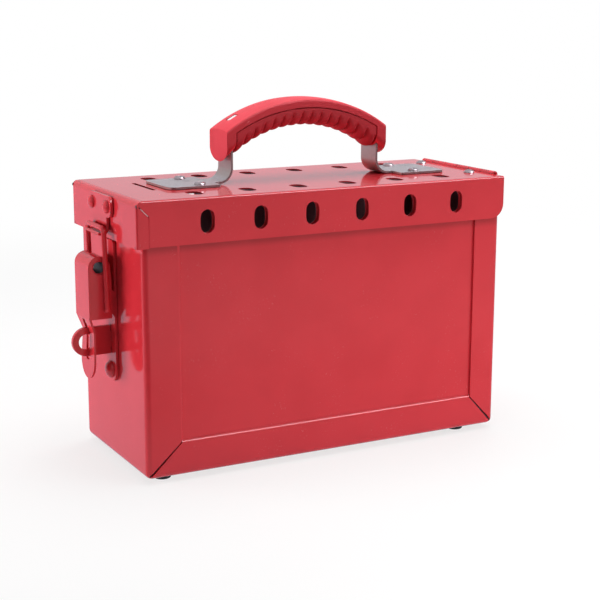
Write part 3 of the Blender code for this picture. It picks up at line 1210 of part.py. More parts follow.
def hang_guides(assembly):
    """Bring the cutters of fixed pieces under the frame, so that they move with it."""
    for piece in bpy.data.objects:
        if piece.type == "MESH" and piece.parent is None:
            piece.parent = assembly.frame


def main():
    """Clear the scene and build the lock box."""
    for piece in list(bpy.data.objects):
        bpy.data.objects.remove(piece, do_unlink=True)
    assembly = Assembly()
    make_body(assembly)
    make_panels(assembly)
    make_feet(assembly)
    make_lid(assembly)
    make_strap(assembly)
    make_grip(assembly)
    make_hinge(assembly)
    make_keeper(assembly)
    make_latch_base(assembly)
    make_eye(assembly)
    make_lever(assembly)
    make_bail(assembly)
    make_fasteners(assembly)
    hang_guides(assembly)


main()
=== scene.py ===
"""Looks of the group lock box: finer pieces, finishes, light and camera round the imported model.

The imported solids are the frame. Sheet-metal nodes stay, with soft edges and enamel. The handle, its
grip, the rivets, pins, wire bail and feet are built finer and stand for their nodes. All lengths
are in metres, in the frame's own coordinates: X from latch to hinge, Y to the back, Z up. Only the
finishes count in millimetres over a surface. Angles in fields are in degrees, and colours are linear.
"""
import json
import logging
import math
from collections.abc import Callable, Mapping, Sequence
from dataclasses import dataclass, field
from enum import Enum
from typing import Any

import bmesh
import bpy
from mathutils import Matrix, Vector

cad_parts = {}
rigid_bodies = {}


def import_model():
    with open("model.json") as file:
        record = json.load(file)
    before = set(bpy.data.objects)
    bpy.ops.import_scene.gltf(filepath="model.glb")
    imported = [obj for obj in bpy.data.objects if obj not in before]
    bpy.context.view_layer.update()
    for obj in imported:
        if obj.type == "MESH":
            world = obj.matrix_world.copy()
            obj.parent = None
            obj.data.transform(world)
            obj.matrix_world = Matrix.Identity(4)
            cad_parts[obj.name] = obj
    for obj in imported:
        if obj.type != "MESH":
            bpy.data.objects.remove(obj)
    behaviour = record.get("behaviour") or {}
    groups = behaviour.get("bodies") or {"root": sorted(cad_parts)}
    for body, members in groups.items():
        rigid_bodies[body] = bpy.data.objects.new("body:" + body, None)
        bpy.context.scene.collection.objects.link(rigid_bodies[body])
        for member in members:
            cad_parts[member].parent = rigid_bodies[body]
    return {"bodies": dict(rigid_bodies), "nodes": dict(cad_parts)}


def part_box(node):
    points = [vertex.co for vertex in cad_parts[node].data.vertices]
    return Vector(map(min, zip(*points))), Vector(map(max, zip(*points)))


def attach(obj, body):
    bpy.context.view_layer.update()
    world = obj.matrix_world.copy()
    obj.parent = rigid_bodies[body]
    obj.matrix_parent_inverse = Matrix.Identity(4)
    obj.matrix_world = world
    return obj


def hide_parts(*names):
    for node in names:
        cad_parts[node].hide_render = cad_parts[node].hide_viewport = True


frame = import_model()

log = logging.getLogger("lock_box")

MM = 0.001
LID_TOP = 158 * MM           # height of the lid's upper face
TOUCH = 0.02 * MM            # what keeps two touching faces apart
REAL_EDGE = 33.0             # degrees between two faces from which their edge is a real one
NEARLY_ONE = 0.99            # for what should be one but for rounding

Colour = tuple[float, float, float]
Point = tuple[float, float, float]
Pair = tuple[float, float]

TO_HINGE: Point = (1.0, 0.0, 0.0)
TO_LATCH: Point = (-1.0, 0.0, 0.0)
TO_BACK: Point = (0.0, 1.0, 0.0)
TO_FRONT: Point = (0.0, -1.0, 0.0)
UPWARD: Point = (0.0, 0.0, 1.0)
TO_CAMERA: Point = (-0.47, -0.88, 0.0)
CAMERA_LEFT: Point = (-0.88, 0.47, 0.0)
WHITE: Colour = (1.0, 1.0, 1.0)


class Axis(Enum):
    """The axes that rows and rivets lie square to, by their place in a point."""

    X = 0
    Z = 2


class Carrier(Enum):
    """The bodies that built pieces ride on."""

    BOX = "box"
    LID = "lid"
    BAIL = "bail"


class Slot(Enum):
    """The record's material slots."""

    ENAMEL = "red_enamel"
    ZINC = "zinc_strap"
    RIVET = "rivet_steel"
    PLASTIC = "red_plastic"
    RUBBER = "black_rubber"


class Finish(Enum):
    """The finishes that pieces are given."""

    ENAMEL = "enamel"
    SHEET = "sheet enamel"
    ZINC = "zinc"
    STEEL = "plated steel"
    # painted glint: the near-white tabs in the grip's windows
    GLINT_TAB = "scraped steel"
    # painted shade: the near-black colour in the tube's bore, the bend reliefs and behind the mitres
    DARK_SHADE = "dark bore"
    # painted highlight: the pale colour on the seams' slanted runs
    SEAM_HIGHLIGHT = "pale filler"
    COVER = "grained plastic"
    INSERT = "soft plastic"
    # painted shade: the darker red of the ribbed insert under the grip
    RUBBER = "rubber"


class Value:
    """One output of a node, which Python's operators combine through Math nodes."""

    def __init__(self, graph: "Graph", socket: bpy.types.NodeSocket | None) -> None:
        """Keep the socket and the graph that it belongs to."""
        self.graph = graph
        self.socket = socket

    def __add__(self, other: "Value | float") -> "Value":
        """Sum of the two."""
        return self.graph.maths("ADD", self, other)

    def __radd__(self, other: float) -> "Value":
        """Sum of the two."""
        return self.graph.maths("ADD", other, self)

    def __sub__(self, other: "Value | float") -> "Value":
        """Difference of the two."""
        return self.graph.maths("SUBTRACT", self, other)

    def __rsub__(self, other: float) -> "Value":
        """Difference of the two."""
        return self.graph.maths("SUBTRACT", other, self)

    def __mul__(self, other: "Value | float") -> "Value":
        """Product of the two."""
        return self.graph.maths("MULTIPLY", self, other)

    def __rmul__(self, other: float) -> "Value":
        """Product of the two."""
        return self.graph.maths("MULTIPLY", other, self)

    def __truediv__(self, other: "Value | float") -> "Value":
        """Quotient of the two."""
        return self.graph.maths("DIVIDE", self, other)

    def __gt__(self, other: "Value | float") -> "Value":
        """One where this is the greater, zero elsewhere."""
        return self.graph.maths("GREATER_THAN", self, other)

    def __abs__(self) -> "Value":
        """Size without the sign."""
        return self.graph.maths("ABSOLUTE", self)

    def between(self, low: float, high: float) -> "Value":
        """Zero below low, one above high, and a smooth step between.

        Args:
            low: Where the step starts.
            high: Where it ends; below low, the step falls.

        Returns:
            The step, from 0 to 1.
        """
        return self.graph.add("ShaderNodeMapRange", {"interpolation_type": "SMOOTHSTEP"},
                              {"Value": self, "From Min": low, "From Max": high})


class Graph:
    """A node tree under construction."""

    def __init__(self, tree: bpy.types.NodeTree) -> None:
        """Start from an empty tree."""
        self.tree = tree
        tree.nodes.clear()

    def add(self, kind: str, settings: Mapping[str, Any] | None = None,
            sockets: Mapping[str | int, Any] | None = None, output: str | int = 0) -> Value:
        """Add a node of any type.

        Args:
            kind: The node's type.
            settings: Its properties, set first.
            sockets: Values or links of its inputs, by name or index.
            output: The output wanted, by name or index.

        Returns:
            That output.
        """
        node = self.tree.nodes.new(kind)
        for name, setting in (settings or {}).items():
            setattr(node, name, setting)
        for name, value in (sockets or {}).items():
            if isinstance(value, Value):
                self.tree.links.new(value.socket, node.inputs[name])
            else:
                node.inputs[name].default_value = value
        return Value(self, node.outputs[output] if node.outputs else None)

    def maths(self, operation: str, first: Value | float, second: Value | float = 0.0) -> Value:
        """One Math node."""
        return self.add("ShaderNodeMath", {"operation": operation}, {0: first, 1: second})

    def blend(self, share: Value | float, first: Value | Colour, second: Value | Colour) -> Value:
        """Mix two colours.

        Args:
            share: How much of the second shows.
            first: A colour or a link.
            second: A colour or a link.

        Returns:
            The mixed colour.
        """
        ends = [value if isinstance(value, Value) else (*value, 1.0) for value in (first, second)]
        return self.add("ShaderNodeMix", {"data_type": "RGBA"}, {0: share, 6: ends[0], 7: ends[1]}, 2)

    def millimetres(self, stretch: Point = (1.0, 1.0, 1.0), turn: Point = (0.0, 0.0, 0.0)) -> Value:
        """The point on the piece, in millimetres.

        Args:
            stretch: Factors along X, Y and Z.
            turn: Degrees about X, Y and Z, put on before the stretch.

        Returns:
            The coordinates.
        """
        place = self.add("ShaderNodeTexCoord", output="Object")
        turned = self.add("ShaderNodeMapping", {"vector_type": "POINT"},
                          {"Vector": place, "Rotation": [math.radians(angle) for angle in turn]})
        factors = [value / MM for value in stretch]
        return self.add("ShaderNodeVectorMath", {"operation": "MULTIPLY"}, {0: turned, 1: factors})

    def reach(self, vector: Value, direction: Point) -> Value:
        """How far a vector goes in a direction."""
        return self.add("ShaderNodeVectorMath", {"operation": "DOT_PRODUCT"}, {0: vector, 1: direction},
                        "Value")

    def within(self, place: Value, low: Point, high: Point) -> Value:
        """Whether a place lies in a box.

        Args:
            place: Coordinates.
            low: The box's low corner.
            high: Its high corner.

        Returns:
            One inside the box, zero outside.
        """
        inside: Value | float = 1.0
        for axis, (start, end) in enumerate(zip(low, high)):
            way = tuple(float(axis == k) for k in range(3))
            along = self.reach(place, way)
            inside = inside * (along > start) * (1.0 - (along > end))
        return inside

    def rays(self) -> tuple[Value, Value]:
        """What kind of ray meets the surface.

        Returns:
            Whether it comes from the camera, and whether from a reflection or through glass.
        """
        return (self.add("ShaderNodeLightPath", output="Is Camera Ray"),
                self.maths("MAXIMUM", self.add("ShaderNodeLightPath", output="Is Glossy Ray"),
                           self.add("ShaderNodeLightPath", output="Is Transmission Ray")))

    def noise(self, place: Value, scale: float, detail: float = 2.0, roughness: float = 0.5) -> Value:
        """Fractal noise from 0 to 1; scale is in features for each millimetre."""
        return self.add("ShaderNodeTexNoise", None, {"Vector": place, "Scale": scale, "Detail": detail,
                                                     "Roughness": roughness}, "Fac")

    def bump(self, height: Value, depth: float, under: Value | None = None) -> Value:
        """Turn a height into a normal.

        Args:
            height: From 0 to 1.
            depth: What a height of 1 stands for, in metres.
            under: Another bump's normal, to add to.

        Returns:
            The normal.
        """
        sockets: dict[str, Any] = {"Height": height, "Distance": depth, "Strength": 1.0}
        if under is not None:
            sockets["Normal"] = under
        return self.add("ShaderNodeBump", None, sockets)

    def shade(self, shape: Value, smooth: bool, domain: str = "EDGE",
              chosen: Value | bool = True) -> Value:
        """Shade a mesh's faces or edges smooth or sharp."""
        return self.add("GeometryNodeSetShadeSmooth", {"domain": domain},
                        {"Geometry": shape, "Selection": chosen, "Shade Smooth": smooth})

    def surface(self, sockets: Mapping[str, Any]) -> None:
        """End the tree in a Principled shader with these inputs."""
        shader = self.add("ShaderNodeBsdfPrincipled", None, sockets)
        self.add("ShaderNodeOutputMaterial", None, {"Surface": shader})


def new_material(name: str) -> tuple[bpy.types.Material, Graph]:
    """Make a material and the graph that fills it.

    Args:
        name: The material's name.

    Returns:
        The material and its graph.
    """
    material = bpy.data.materials.new(name)
    material.use_nodes = True
    return material, Graph(material.node_tree)


def new_tree(name: str) -> tuple[bpy.types.NodeTree, Graph]:
    """Make a geometry tree that takes a mesh and gives one, and the graph that fills it.

    Args:
        name: The tree's name.

    Returns:
        The tree and its graph.
    """
    tree = bpy.data.node_groups.new(name, "GeometryNodeTree")
    for side in ("INPUT", "OUTPUT"):
        tree.interface.new_socket("Geometry", in_out=side, socket_type="NodeSocketGeometry")
    return tree, Graph(tree)


@dataclass(frozen=True)
class Enamel:
    """Gloss red enamel on sheet steel: slight orange peel, hairline scratches and dust specks.

    The room is the space, in millimetres, where the sheets take a greyer, duller colour. With it
    goes a painted shadow on the box's front and back: a dark band just under the lid's edge.
    """

    name: str = "gloss_red_enamel"
    red: Colour = (0.61, 0.030, 0.042)
    deep_red: Colour = (0.58, 0.027, 0.038)
    fleck: Colour = (0.44, 0.016, 0.022)
    dust: Colour = (0.68, 0.14, 0.15)
    scratched: Colour = (0.64, 0.16, 0.17)
    inner_red: Colour = (0.40, 0.22, 0.26)
    # painted shadow: the dark colour of the band under the lid's edge
    skirt_shadow_colour: Colour = (0.05, 0.004, 0.005)
    roughness: float = 0.085
    inner_roughness: float = 0.35
    peel_depth: float = 0.009 * MM
    scratch_depth: float = 0.008 * MM
    scratch_share: float = 0.35
    skirt_shadow_share: float = 0.36
    skirt_shadow_faces: Pair = (47.0, 49.0)
    skirt_shadow_rise: Pair = (127.0, 132.2)
    skirt_shadow_fall: Pair = (134.5, 133.0)
    room: tuple[Point, Point] | None = None

    def scratches(self, graph: Graph, turn: float, spread: float) -> Value:
        """Short hairlines that lie in one direction.

        Args:
            graph: The graph to add to.
            turn: Direction, in degrees.
            spread: Noise level above which a line shows; near 1 gives few.

        Returns:
            The mask, from 0 to 1.
        """
        lines = graph.noise(graph.millimetres((0.06, 2.4, 0.9), (turn / 2, turn, turn)), 1.0, 1.0)
        patches = graph.noise(graph.millimetres(turn=(0.0, 0.0, turn)), 0.045, 2.0)
        return lines.between(spread, spread + 0.03) * patches.between(0.56, 0.64)

    def skirt_shadow_line(self, graph: Graph, place: Value) -> Value:
        """Where the painted shadow lies: on the front and back sheets, darkest just under the lid's
        edge.

        Args:
            graph: The graph to add to.
            place: Coordinates, in millimetres.

        Returns:
            The mask, from 0 to 1.
        """
        across = abs(graph.reach(place, TO_BACK))
        height = graph.reach(place, UPWARD)
        inner, outer = self.skirt_shadow_faces
        return (across > inner) * (1.0 - (across > outer)) * height.between(*self.skirt_shadow_rise) \
            * height.between(*self.skirt_shadow_fall)

    def make(self) -> bpy.types.Material:
        """Build the material.

        Returns:
            The material.
        """
        material, graph = new_material(self.name)
        place = graph.millimetres()
        clouds = graph.noise(place, 0.03, 3.0)
        fine = graph.noise(place, 1.7, 2.0)
        specks = graph.noise(place, 0.9, 0.0).between(0.86, 0.90)
        scratches = (self.scratches(graph, 34.0, 0.70) + self.scratches(graph, -52.0, 0.71)) \
            * self.scratch_share
        colour = graph.blend(clouds.between(0.35, 0.65), self.deep_red, self.red)
        colour = graph.blend(fine * 0.07, colour, self.fleck)
        colour = graph.blend(scratches, colour, self.scratched)
        colour = graph.blend(specks * 0.12, colour, self.dust)
        roughness = self.roughness + clouds * 0.03 + scratches * 0.15 + specks * 0.1
        if self.room:
            # inside the room the sheets take a greyer, duller colour
            inside = graph.within(place, *self.room)
            colour = graph.blend(inside, colour, self.inner_red)
            # painted shadow: a dark band on the front and back, just under the lid's edge
            colour = graph.blend(self.skirt_shadow_line(graph, place) * self.skirt_shadow_share, colour, self.skirt_shadow_colour)
            roughness = roughness + inside * self.inner_roughness
        peel = graph.noise(place, 0.42, 1.0)
        normal = graph.bump(peel, self.peel_depth)
        normal = graph.bump(1.0 - scratches, self.scratch_depth, normal)
        graph.surface({"Base Color": colour, "Roughness": roughness, "Normal": normal})
        return material


@dataclass(frozen=True)
class GalvanisedSteel:
    """Zinc-plated strap steel: dull grey with a fine mottle, and painted shade on darker, browner legs
    and dark cut edges.
    """

    name: str = "galvanised_strap"
    light: Colour = (0.75, 0.705, 0.70)
    dark: Colour = (0.58, 0.535, 0.535)
    # painted shade: the legs' darker, browner colour and the cut edges' dark colour
    leg: Colour = (0.58, 0.49, 0.45)
    cut: Colour = (0.16, 0.11, 0.11)
    stained: Colour = (0.36, 0.31, 0.31)
    roughness: float = 0.36
    mottle_depth: float = 0.018 * MM

    def make(self) -> bpy.types.Material:
        """Build the material.

        Returns:
            The material.
        """
        material, graph = new_material(self.name)
        place = graph.millimetres()
        grains = graph.add("ShaderNodeTexVoronoi", {"feature": "F1"},
                           {"Vector": place, "Scale": 1.5, "Randomness": 1.0}, "Distance")
        mottle = graph.noise(place, 0.9, 4.0, 0.65)
        salt = graph.noise(place, 4.5, 1.0)
        stain = graph.noise(place, 0.08, 3.0)
        share = mottle * 0.55 + grains * 0.35 + salt * 0.25
        colour = graph.blend(share.between(0.35, 0.85), self.light, self.dark)
        colour = graph.blend(stain.between(0.55, 0.75) * 0.35, colour, self.stained)
        facing = graph.add("ShaderNodeNewGeometry", output="Normal")
        # painted shade: faces turned to the sides (the legs) and to the front and back (the cut edges)
        # are darkened
        upright = abs(graph.reach(facing, TO_HINGE)).between(0.50, 0.90)
        cut = abs(graph.reach(facing, TO_BACK)).between(0.60, 0.90)
        colour = graph.blend(upright * (0.7 + mottle * 0.3), colour, self.leg)
        colour = graph.blend(cut * 0.9, colour, self.cut)
        roughness = self.roughness + mottle * 0.18 + salt * 0.08
        normal = graph.bump(mottle * 0.6 + salt * 0.4, self.mottle_depth)
        graph.surface({"Base Color": colour, "Metallic": 1.0, "Roughness": roughness,
                       "Normal": normal})
        return material


@dataclass(frozen=True)
class PlatedSteel:
    """Bright plated steel, as on the rivets and pins, with turning marks; its pink cast is painted
    reflection of the red enamel.
    """

    name: str = "bright_plated_steel"
    # painted reflection: the pink cast of the steel's colour
    bright: Colour = (0.58, 0.51, 0.52)
    dull: Colour = (0.33, 0.27, 0.28)
    roughness: float = 0.26
    metallic: float = 1.0
    mark_depth: float = 0.012 * MM

    def make(self) -> bpy.types.Material:
        """Build the material.

        Returns:
            The material.
        """
        material, graph = new_material(self.name)
        place = graph.millimetres()
        cloud = graph.noise(place, 0.7, 3.0)
        nicks = graph.noise(graph.millimetres((0.5, 6.0, 3.0), (20.0, 0.0, 30.0)), 1.0, 1.0)
        marks = nicks.between(0.62, 0.70)
        colour = graph.blend(cloud.between(0.45, 0.8), self.bright, self.dull)
        colour = graph.blend(marks * 0.5, colour, self.dull)
        roughness = self.roughness + cloud * 0.14 + marks * 0.15
        normal = graph.bump(cloud * 0.6 + nicks * 0.4, self.mark_depth)
        graph.surface({"Base Color": colour, "Metallic": self.metallic, "Roughness": roughness,
                       "Normal": normal})
        return material


@dataclass(frozen=True)
class GrainedPlastic:
    """Moulded red plastic with a fine spark-eroded grain, and painted shade: a deeper red on its
    flanks.
    """

    name: str = "grained_red_plastic"
    red: Colour = (0.72, 0.040, 0.061)
    deep_red: Colour = (0.67, 0.035, 0.053)
    shaded_flank_red: Colour = (0.47, 0.027, 0.039)
    roughness: float = 0.44
    gloss: float = 0.38
    pit: Colour = (0.34, 0.020, 0.028)
    scuff: Colour = (0.74, 0.22, 0.24)
    grain_depth: float = 0.035 * MM

    def make(self) -> bpy.types.Material:
        """Build the material.

        Returns:
            The material.
        """
        material, graph = new_material(self.name)
        place = graph.millimetres()
        grain = graph.noise(place, 2.6, 2.0, 0.6)
        cloud = graph.noise(place, 0.06, 2.0)
        pits = graph.noise(place, 5.5, 0.0).between(0.62, 0.74)
        scuffs = graph.noise(graph.millimetres((0.10, 1.6, 0.7), (10.0, 25.0, 15.0)), 1.0, 1.0)
        scuffs = scuffs.between(0.72, 0.76) * cloud.between(0.50, 0.60)
        facing = graph.add("ShaderNodeNewGeometry", output="Normal")
        # painted shade: faces turned to the front and back take a darker red
        flank = abs(graph.reach(facing, TO_BACK)).between(0.55, 0.90)
        colour = graph.blend(cloud.between(0.3, 0.7), self.deep_red, self.red)
        colour = graph.blend(flank, colour, self.shaded_flank_red)
        colour = graph.blend(pits * 0.18, colour, self.pit)
        colour = graph.blend(scuffs * 0.4, colour, self.scuff)
        roughness = self.roughness + grain * 0.16 - cloud * 0.08 + scuffs * 0.1
        normal = graph.bump(grain * 0.75 + pits * -0.25, self.grain_depth)
        graph.surface({"Base Color": colour, "Roughness": roughness, "Normal": normal,
                       "Specular IOR Level": self.gloss})
        return material


@dataclass(frozen=True)
class FootRubber:
    """Black moulded rubber with patches of dust."""

    name: str = "black_foot_rubber"
    black: Colour = (0.012, 0.012, 0.014)
    dusty: Colour = (0.055, 0.052, 0.050)
    roughness: float = 0.62
    grain_depth: float = 0.04 * MM

    def make(self) -> bpy.types.Material:
        """Build the material.

        Returns:
            The material.
        """
        material, graph = new_material(self.name)
        place = graph.millimetres()
        grain = graph.noise(place, 1.8, 3.0)
        dust = graph.noise(place, 0.35, 3.0).between(0.5, 0.8)
        colour = graph.blend(dust * 0.5, self.black, self.dusty)
        graph.surface({"Base Color": colour, "Roughness": self.roughness + grain * 0.25,
                       "Normal": graph.bump(grain, self.grain_depth)})
        return material


@dataclass(frozen=True)
class PaperFloor:
    """The white sweep under the box. It shows white and keeps the box's shadow.

    Its spans are in millimetres. In reflections it gets darker in front of the box, and nearly
    black towards the camera and to the camera's left.
    """

    name: str = "white_sweep"
    shade: Colour = (0.86, 0.86, 0.86)
    fibre: Colour = (0.88, 0.88, 0.88)
    far_off: Pair = (300.0, 900.0)
    in_front: Pair = (-60.0, 190.0)
    camera_side: Pair = (120.0, 300.0)
    left_side: Pair = (-150.0, 0.0)
    own_white: float = 0.74
    side_tone: float = 0.60
    side_tint: Colour = (0.98, 0.97, 1.16)
    front_tone: float = 0.50
    dark_tone: float = 0.10

    def make(self) -> bpy.types.Material:
        """Build the material.

        Returns:
            The material.
        """
        material, graph = new_material(self.name)
        place = graph.millimetres()
        fibre = graph.noise(place, 0.02, 2.0)
        colour = graph.blend(fibre, self.shade, self.fibre)
        lit = graph.add("ShaderNodeBsdfDiffuse", None, {"Color": colour})
        length = graph.add("ShaderNodeVectorMath", {"operation": "LENGTH"}, {0: place}, "Value")
        far = length.between(*self.far_off)
        front = graph.reach(place, TO_FRONT).between(*self.in_front)
        dark = graph.reach(place, TO_CAMERA).between(*self.camera_side) \
            * graph.reach(place, CAMERA_LEFT).between(*self.left_side)
        mirrored = self.side_tone - front * (self.side_tone - self.front_tone)
        mirrored = mirrored - dark * (mirrored - self.dark_tone)
        camera, other = graph.rays()
        tint = graph.blend(other * (1.0 - front), WHITE, self.side_tint)
        white = graph.add("ShaderNodeEmission", None, {"Color": tint,
                                                       "Strength": camera + other * mirrored})
        share = camera * (self.own_white + far * (1.0 - self.own_white)) + other
        mixed = graph.add("ShaderNodeMixShader", None, {0: share, 1: lit, 2: white})
        graph.add("ShaderNodeOutputMaterial", None, {"Surface": mixed})
        return material


class EdgeSmoother:
    """A geometry tree that shades a mesh smooth and keeps its real edges sharp."""

    def __init__(self, sharp_from: float = REAL_EDGE) -> None:
        """Build the tree once.

        Args:
            sharp_from: Degrees between two faces from which their edge stays sharp.
        """
        self.name = "smooth_but_edges"
        self.group, graph = new_tree(self.name)
        angle = graph.add("GeometryNodeInputMeshEdgeAngle", output="Unsigned Angle")
        smooth = graph.shade(graph.add("NodeGroupInput"), True, "FACE")
        kept = graph.shade(smooth, False, "EDGE", angle > math.radians(sharp_from))
        graph.add("NodeGroupOutput", None, {0: kept})

    def put_on(self, piece: bpy.types.Object) -> None:
        """Add the tree to a piece."""
        piece.modifiers.new(self.name, "NODES").node_group = self.group


@dataclass
class WiderBends:
    """Two geometry trees that open the lid's long side bends to their real radius.

    The lid's outer line runs along its top and down its left end, with the end's bend between. A
    point of a side bend lies some way below that line and some way in from the side. Both ways
    grow alike. The first tree gives the mesh a row of points on each side of the end's bend, so
    that the bends keep their radius up to there. The second one moves the points.
    """

    half_depth: float
    left: float
    top: float
    end_bend: float = 3.5 * MM
    packed: float = 0.2664 * MM
    wanted: float = 1.15 * MM
    settled: float = 1.3 * MM
    slack: float = 1.05
    row_gap: float = 0.04 * MM

    @property
    def nearness(self) -> float:
        """How near to a plane or a face a point counts as lying on it."""
        return self.row_gap / 8

    @property
    def rows(self) -> tuple[tuple[Point, float], tuple[Point, float]]:
        """The direction and the level of the planes that the rows lie in."""
        return ((TO_HINGE, self.left + self.end_bend + self.row_gap),
                (UPWARD, self.top - self.end_bend - self.row_gap))

    def near_rows(self, graph: Graph) -> list[Value]:
        """Whether a point lies in each of the rows' planes.

        Args:
            graph: The graph to add to.

        Returns:
            One in the plane, zero outside, for each row.
        """
        place = graph.add("GeometryNodeInputPosition")
        return [1.0 - (abs(graph.reach(place, way) - level) > self.nearness)
                for way, level in self.rows]

    @staticmethod
    def without(graph: Graph, shape: Value, axis: Axis, level: float, side: float) -> Value:
        """Take away what lies on one side of a plane.

        Args:
            graph: The graph to add to.
            shape: The mesh.
            axis: The axis square to the plane.
            level: Where the plane lies on it.
            side: Which side goes, -1 or 1.

        Returns:
            The rest of the mesh.
        """
        half_block = 0.5      # the node's cube is one metre wide
        block = graph.add("GeometryNodeMeshCube")
        place = [0.0, 0.0, 0.0]
        place[axis.value] = level + side * half_block
        block = graph.add("GeometryNodeTransform", None, {"Geometry": block, "Translation": place})
        return graph.add("GeometryNodeMeshBoolean", {"operation": "DIFFERENCE", "solver": "EXACT"},
                         {0: shape, 1: block})

    def with_rows(self, graph: Graph, shape: Value) -> Value:
        """Add the two rows of points: cut the mesh, drop the cut faces and join it again.

        Args:
            graph: The graph to add to.
            shape: The mesh.

        Returns:
            The mesh with its rows.
        """
        parts = [shape]
        for axis, (_, level) in zip((Axis.X, Axis.Z), self.rows):
            parts = [self.without(graph, part, axis, level, side)
                     for part in parts for side in (-1.0, 1.0)]
        whole = parts[0]
        for part in parts[1:]:
            whole = graph.add("GeometryNodeJoinGeometry", None, {"Geometry": whole, 0: part})
        facing = graph.add("GeometryNodeInputNormal")
        cuts: Value | float = 0.0
        for (way, _), near in zip(self.rows, self.near_rows(graph)):
            cuts = cuts + near * (abs(graph.reach(facing, way)) > NEARLY_ONE)
        opened = graph.add("GeometryNodeDeleteGeometry", {"domain": "FACE"},
                           {"Geometry": whole, "Selection": cuts})
        return graph.add("GeometryNodeMergeByDistance", None,
                         {"Geometry": opened, "Distance": self.nearness})

    @staticmethod
    def tree_on(piece: bpy.types.Object, name: str) -> Graph:
        """Add an empty geometry tree to a piece.

        Args:
            piece: The piece.
            name: The tree's name.

        Returns:
            The tree's graph.
        """
        tree, graph = new_tree(name)
        piece.modifiers.new(name, "NODES").node_group = tree
        return graph

    def measure(self, graph: Graph) -> dict[str, Value]:
        """How a point lies: past the end's bend, below the outer line and in from the side.

        Args:
            graph: The graph to add to.

        Returns:
            The ways by name, and whether the point is in a side bend.
        """
        place = graph.add("GeometryNodeInputPosition")
        across = graph.reach(place, TO_BACK)
        past_top = self.left + self.end_bend - graph.reach(place, TO_HINGE)
        above_end = graph.reach(place, UPWARD) - (self.top - self.end_bend)
        back = graph.maths("MAXIMUM", past_top, 0.0)
        rise = graph.maths("MAXIMUM", above_end, 0.0)
        length = graph.maths("SQRT", back * back + rise * rise)
        below = graph.maths("MAXIMUM", self.end_bend - length, 0.0)
        inward = graph.maths("MAXIMUM", self.half_depth - abs(across), 0.0)
        reach = self.packed * self.slack
        return {"across": across, "back": back, "rise": rise, "length": length, "below": below,
                "inward": inward, "in_bend": (1.0 - (below > reach)) * (1.0 - (inward > reach))}

    def growth(self, graph: Graph, way: Value) -> Value:
        """How much longer a way gets: in step within the bend, then ever less until nothing moves.

        Args:
            graph: The graph to add to.
            way: The way from the outer line or from the side.

        Returns:
            What is added to the way.
        """
        slope = (self.settled - self.wanted) / (self.settled - self.packed)
        beyond = (way - self.packed) * slope + self.wanted
        grown = graph.maths("MINIMUM", way * (self.wanted / self.packed), beyond)
        return graph.maths("MAXIMUM", grown - way, 0.0)

    def cut_rows(self, piece: bpy.types.Object) -> None:
        """Cut the rows into a piece.

        Their edges in the bends are marked sharp, so that they outlast the dissolving of flat edges.

        Args:
            piece: The piece.
        """
        graph = self.tree_on(piece, "bend_rows")
        shape = self.with_rows(graph, graph.add("NodeGroupInput"))
        way = self.measure(graph)
        end, foot = self.near_rows(graph)
        both_ends = graph.add("GeometryNodeFieldOnDomain", {"domain": "POINT", "data_type": "FLOAT"},
                              {"Value": (end + foot) * way["in_bend"]})
        marked = graph.shade(graph.shade(shape, True), False, "EDGE", both_ends > NEARLY_ONE)
        graph.add("NodeGroupOutput", None, {0: marked})

    def open_up(self, piece: bpy.types.Object) -> None:
        """Move the points of a piece's side bends to the wanted radius, and unmark the rows.

        Args:
            piece: The piece.
        """
        graph = self.tree_on(piece, "wider_bends")
        way = self.measure(graph)
        on_face = 2.0 - (way["below"] > self.nearness) - (way["inward"] > self.nearness)
        share = self.growth(graph, way["below"]) / graph.maths("MAXIMUM", way["length"], self.packed)
        move = graph.add("ShaderNodeCombineXYZ", None, {
            "X": share * way["back"],
            "Y": graph.maths("SIGN", way["across"]) * self.growth(graph, way["inward"]) * -1.0,
            "Z": share * way["rise"] * -1.0})
        moved = graph.add("GeometryNodeSetPosition", None, {
            "Geometry": graph.add("NodeGroupInput"), "Selection": (way["in_bend"] + on_face) > 0.5,
            "Offset": move})
        graph.add("NodeGroupOutput", None, {0: graph.shade(moved, True)})


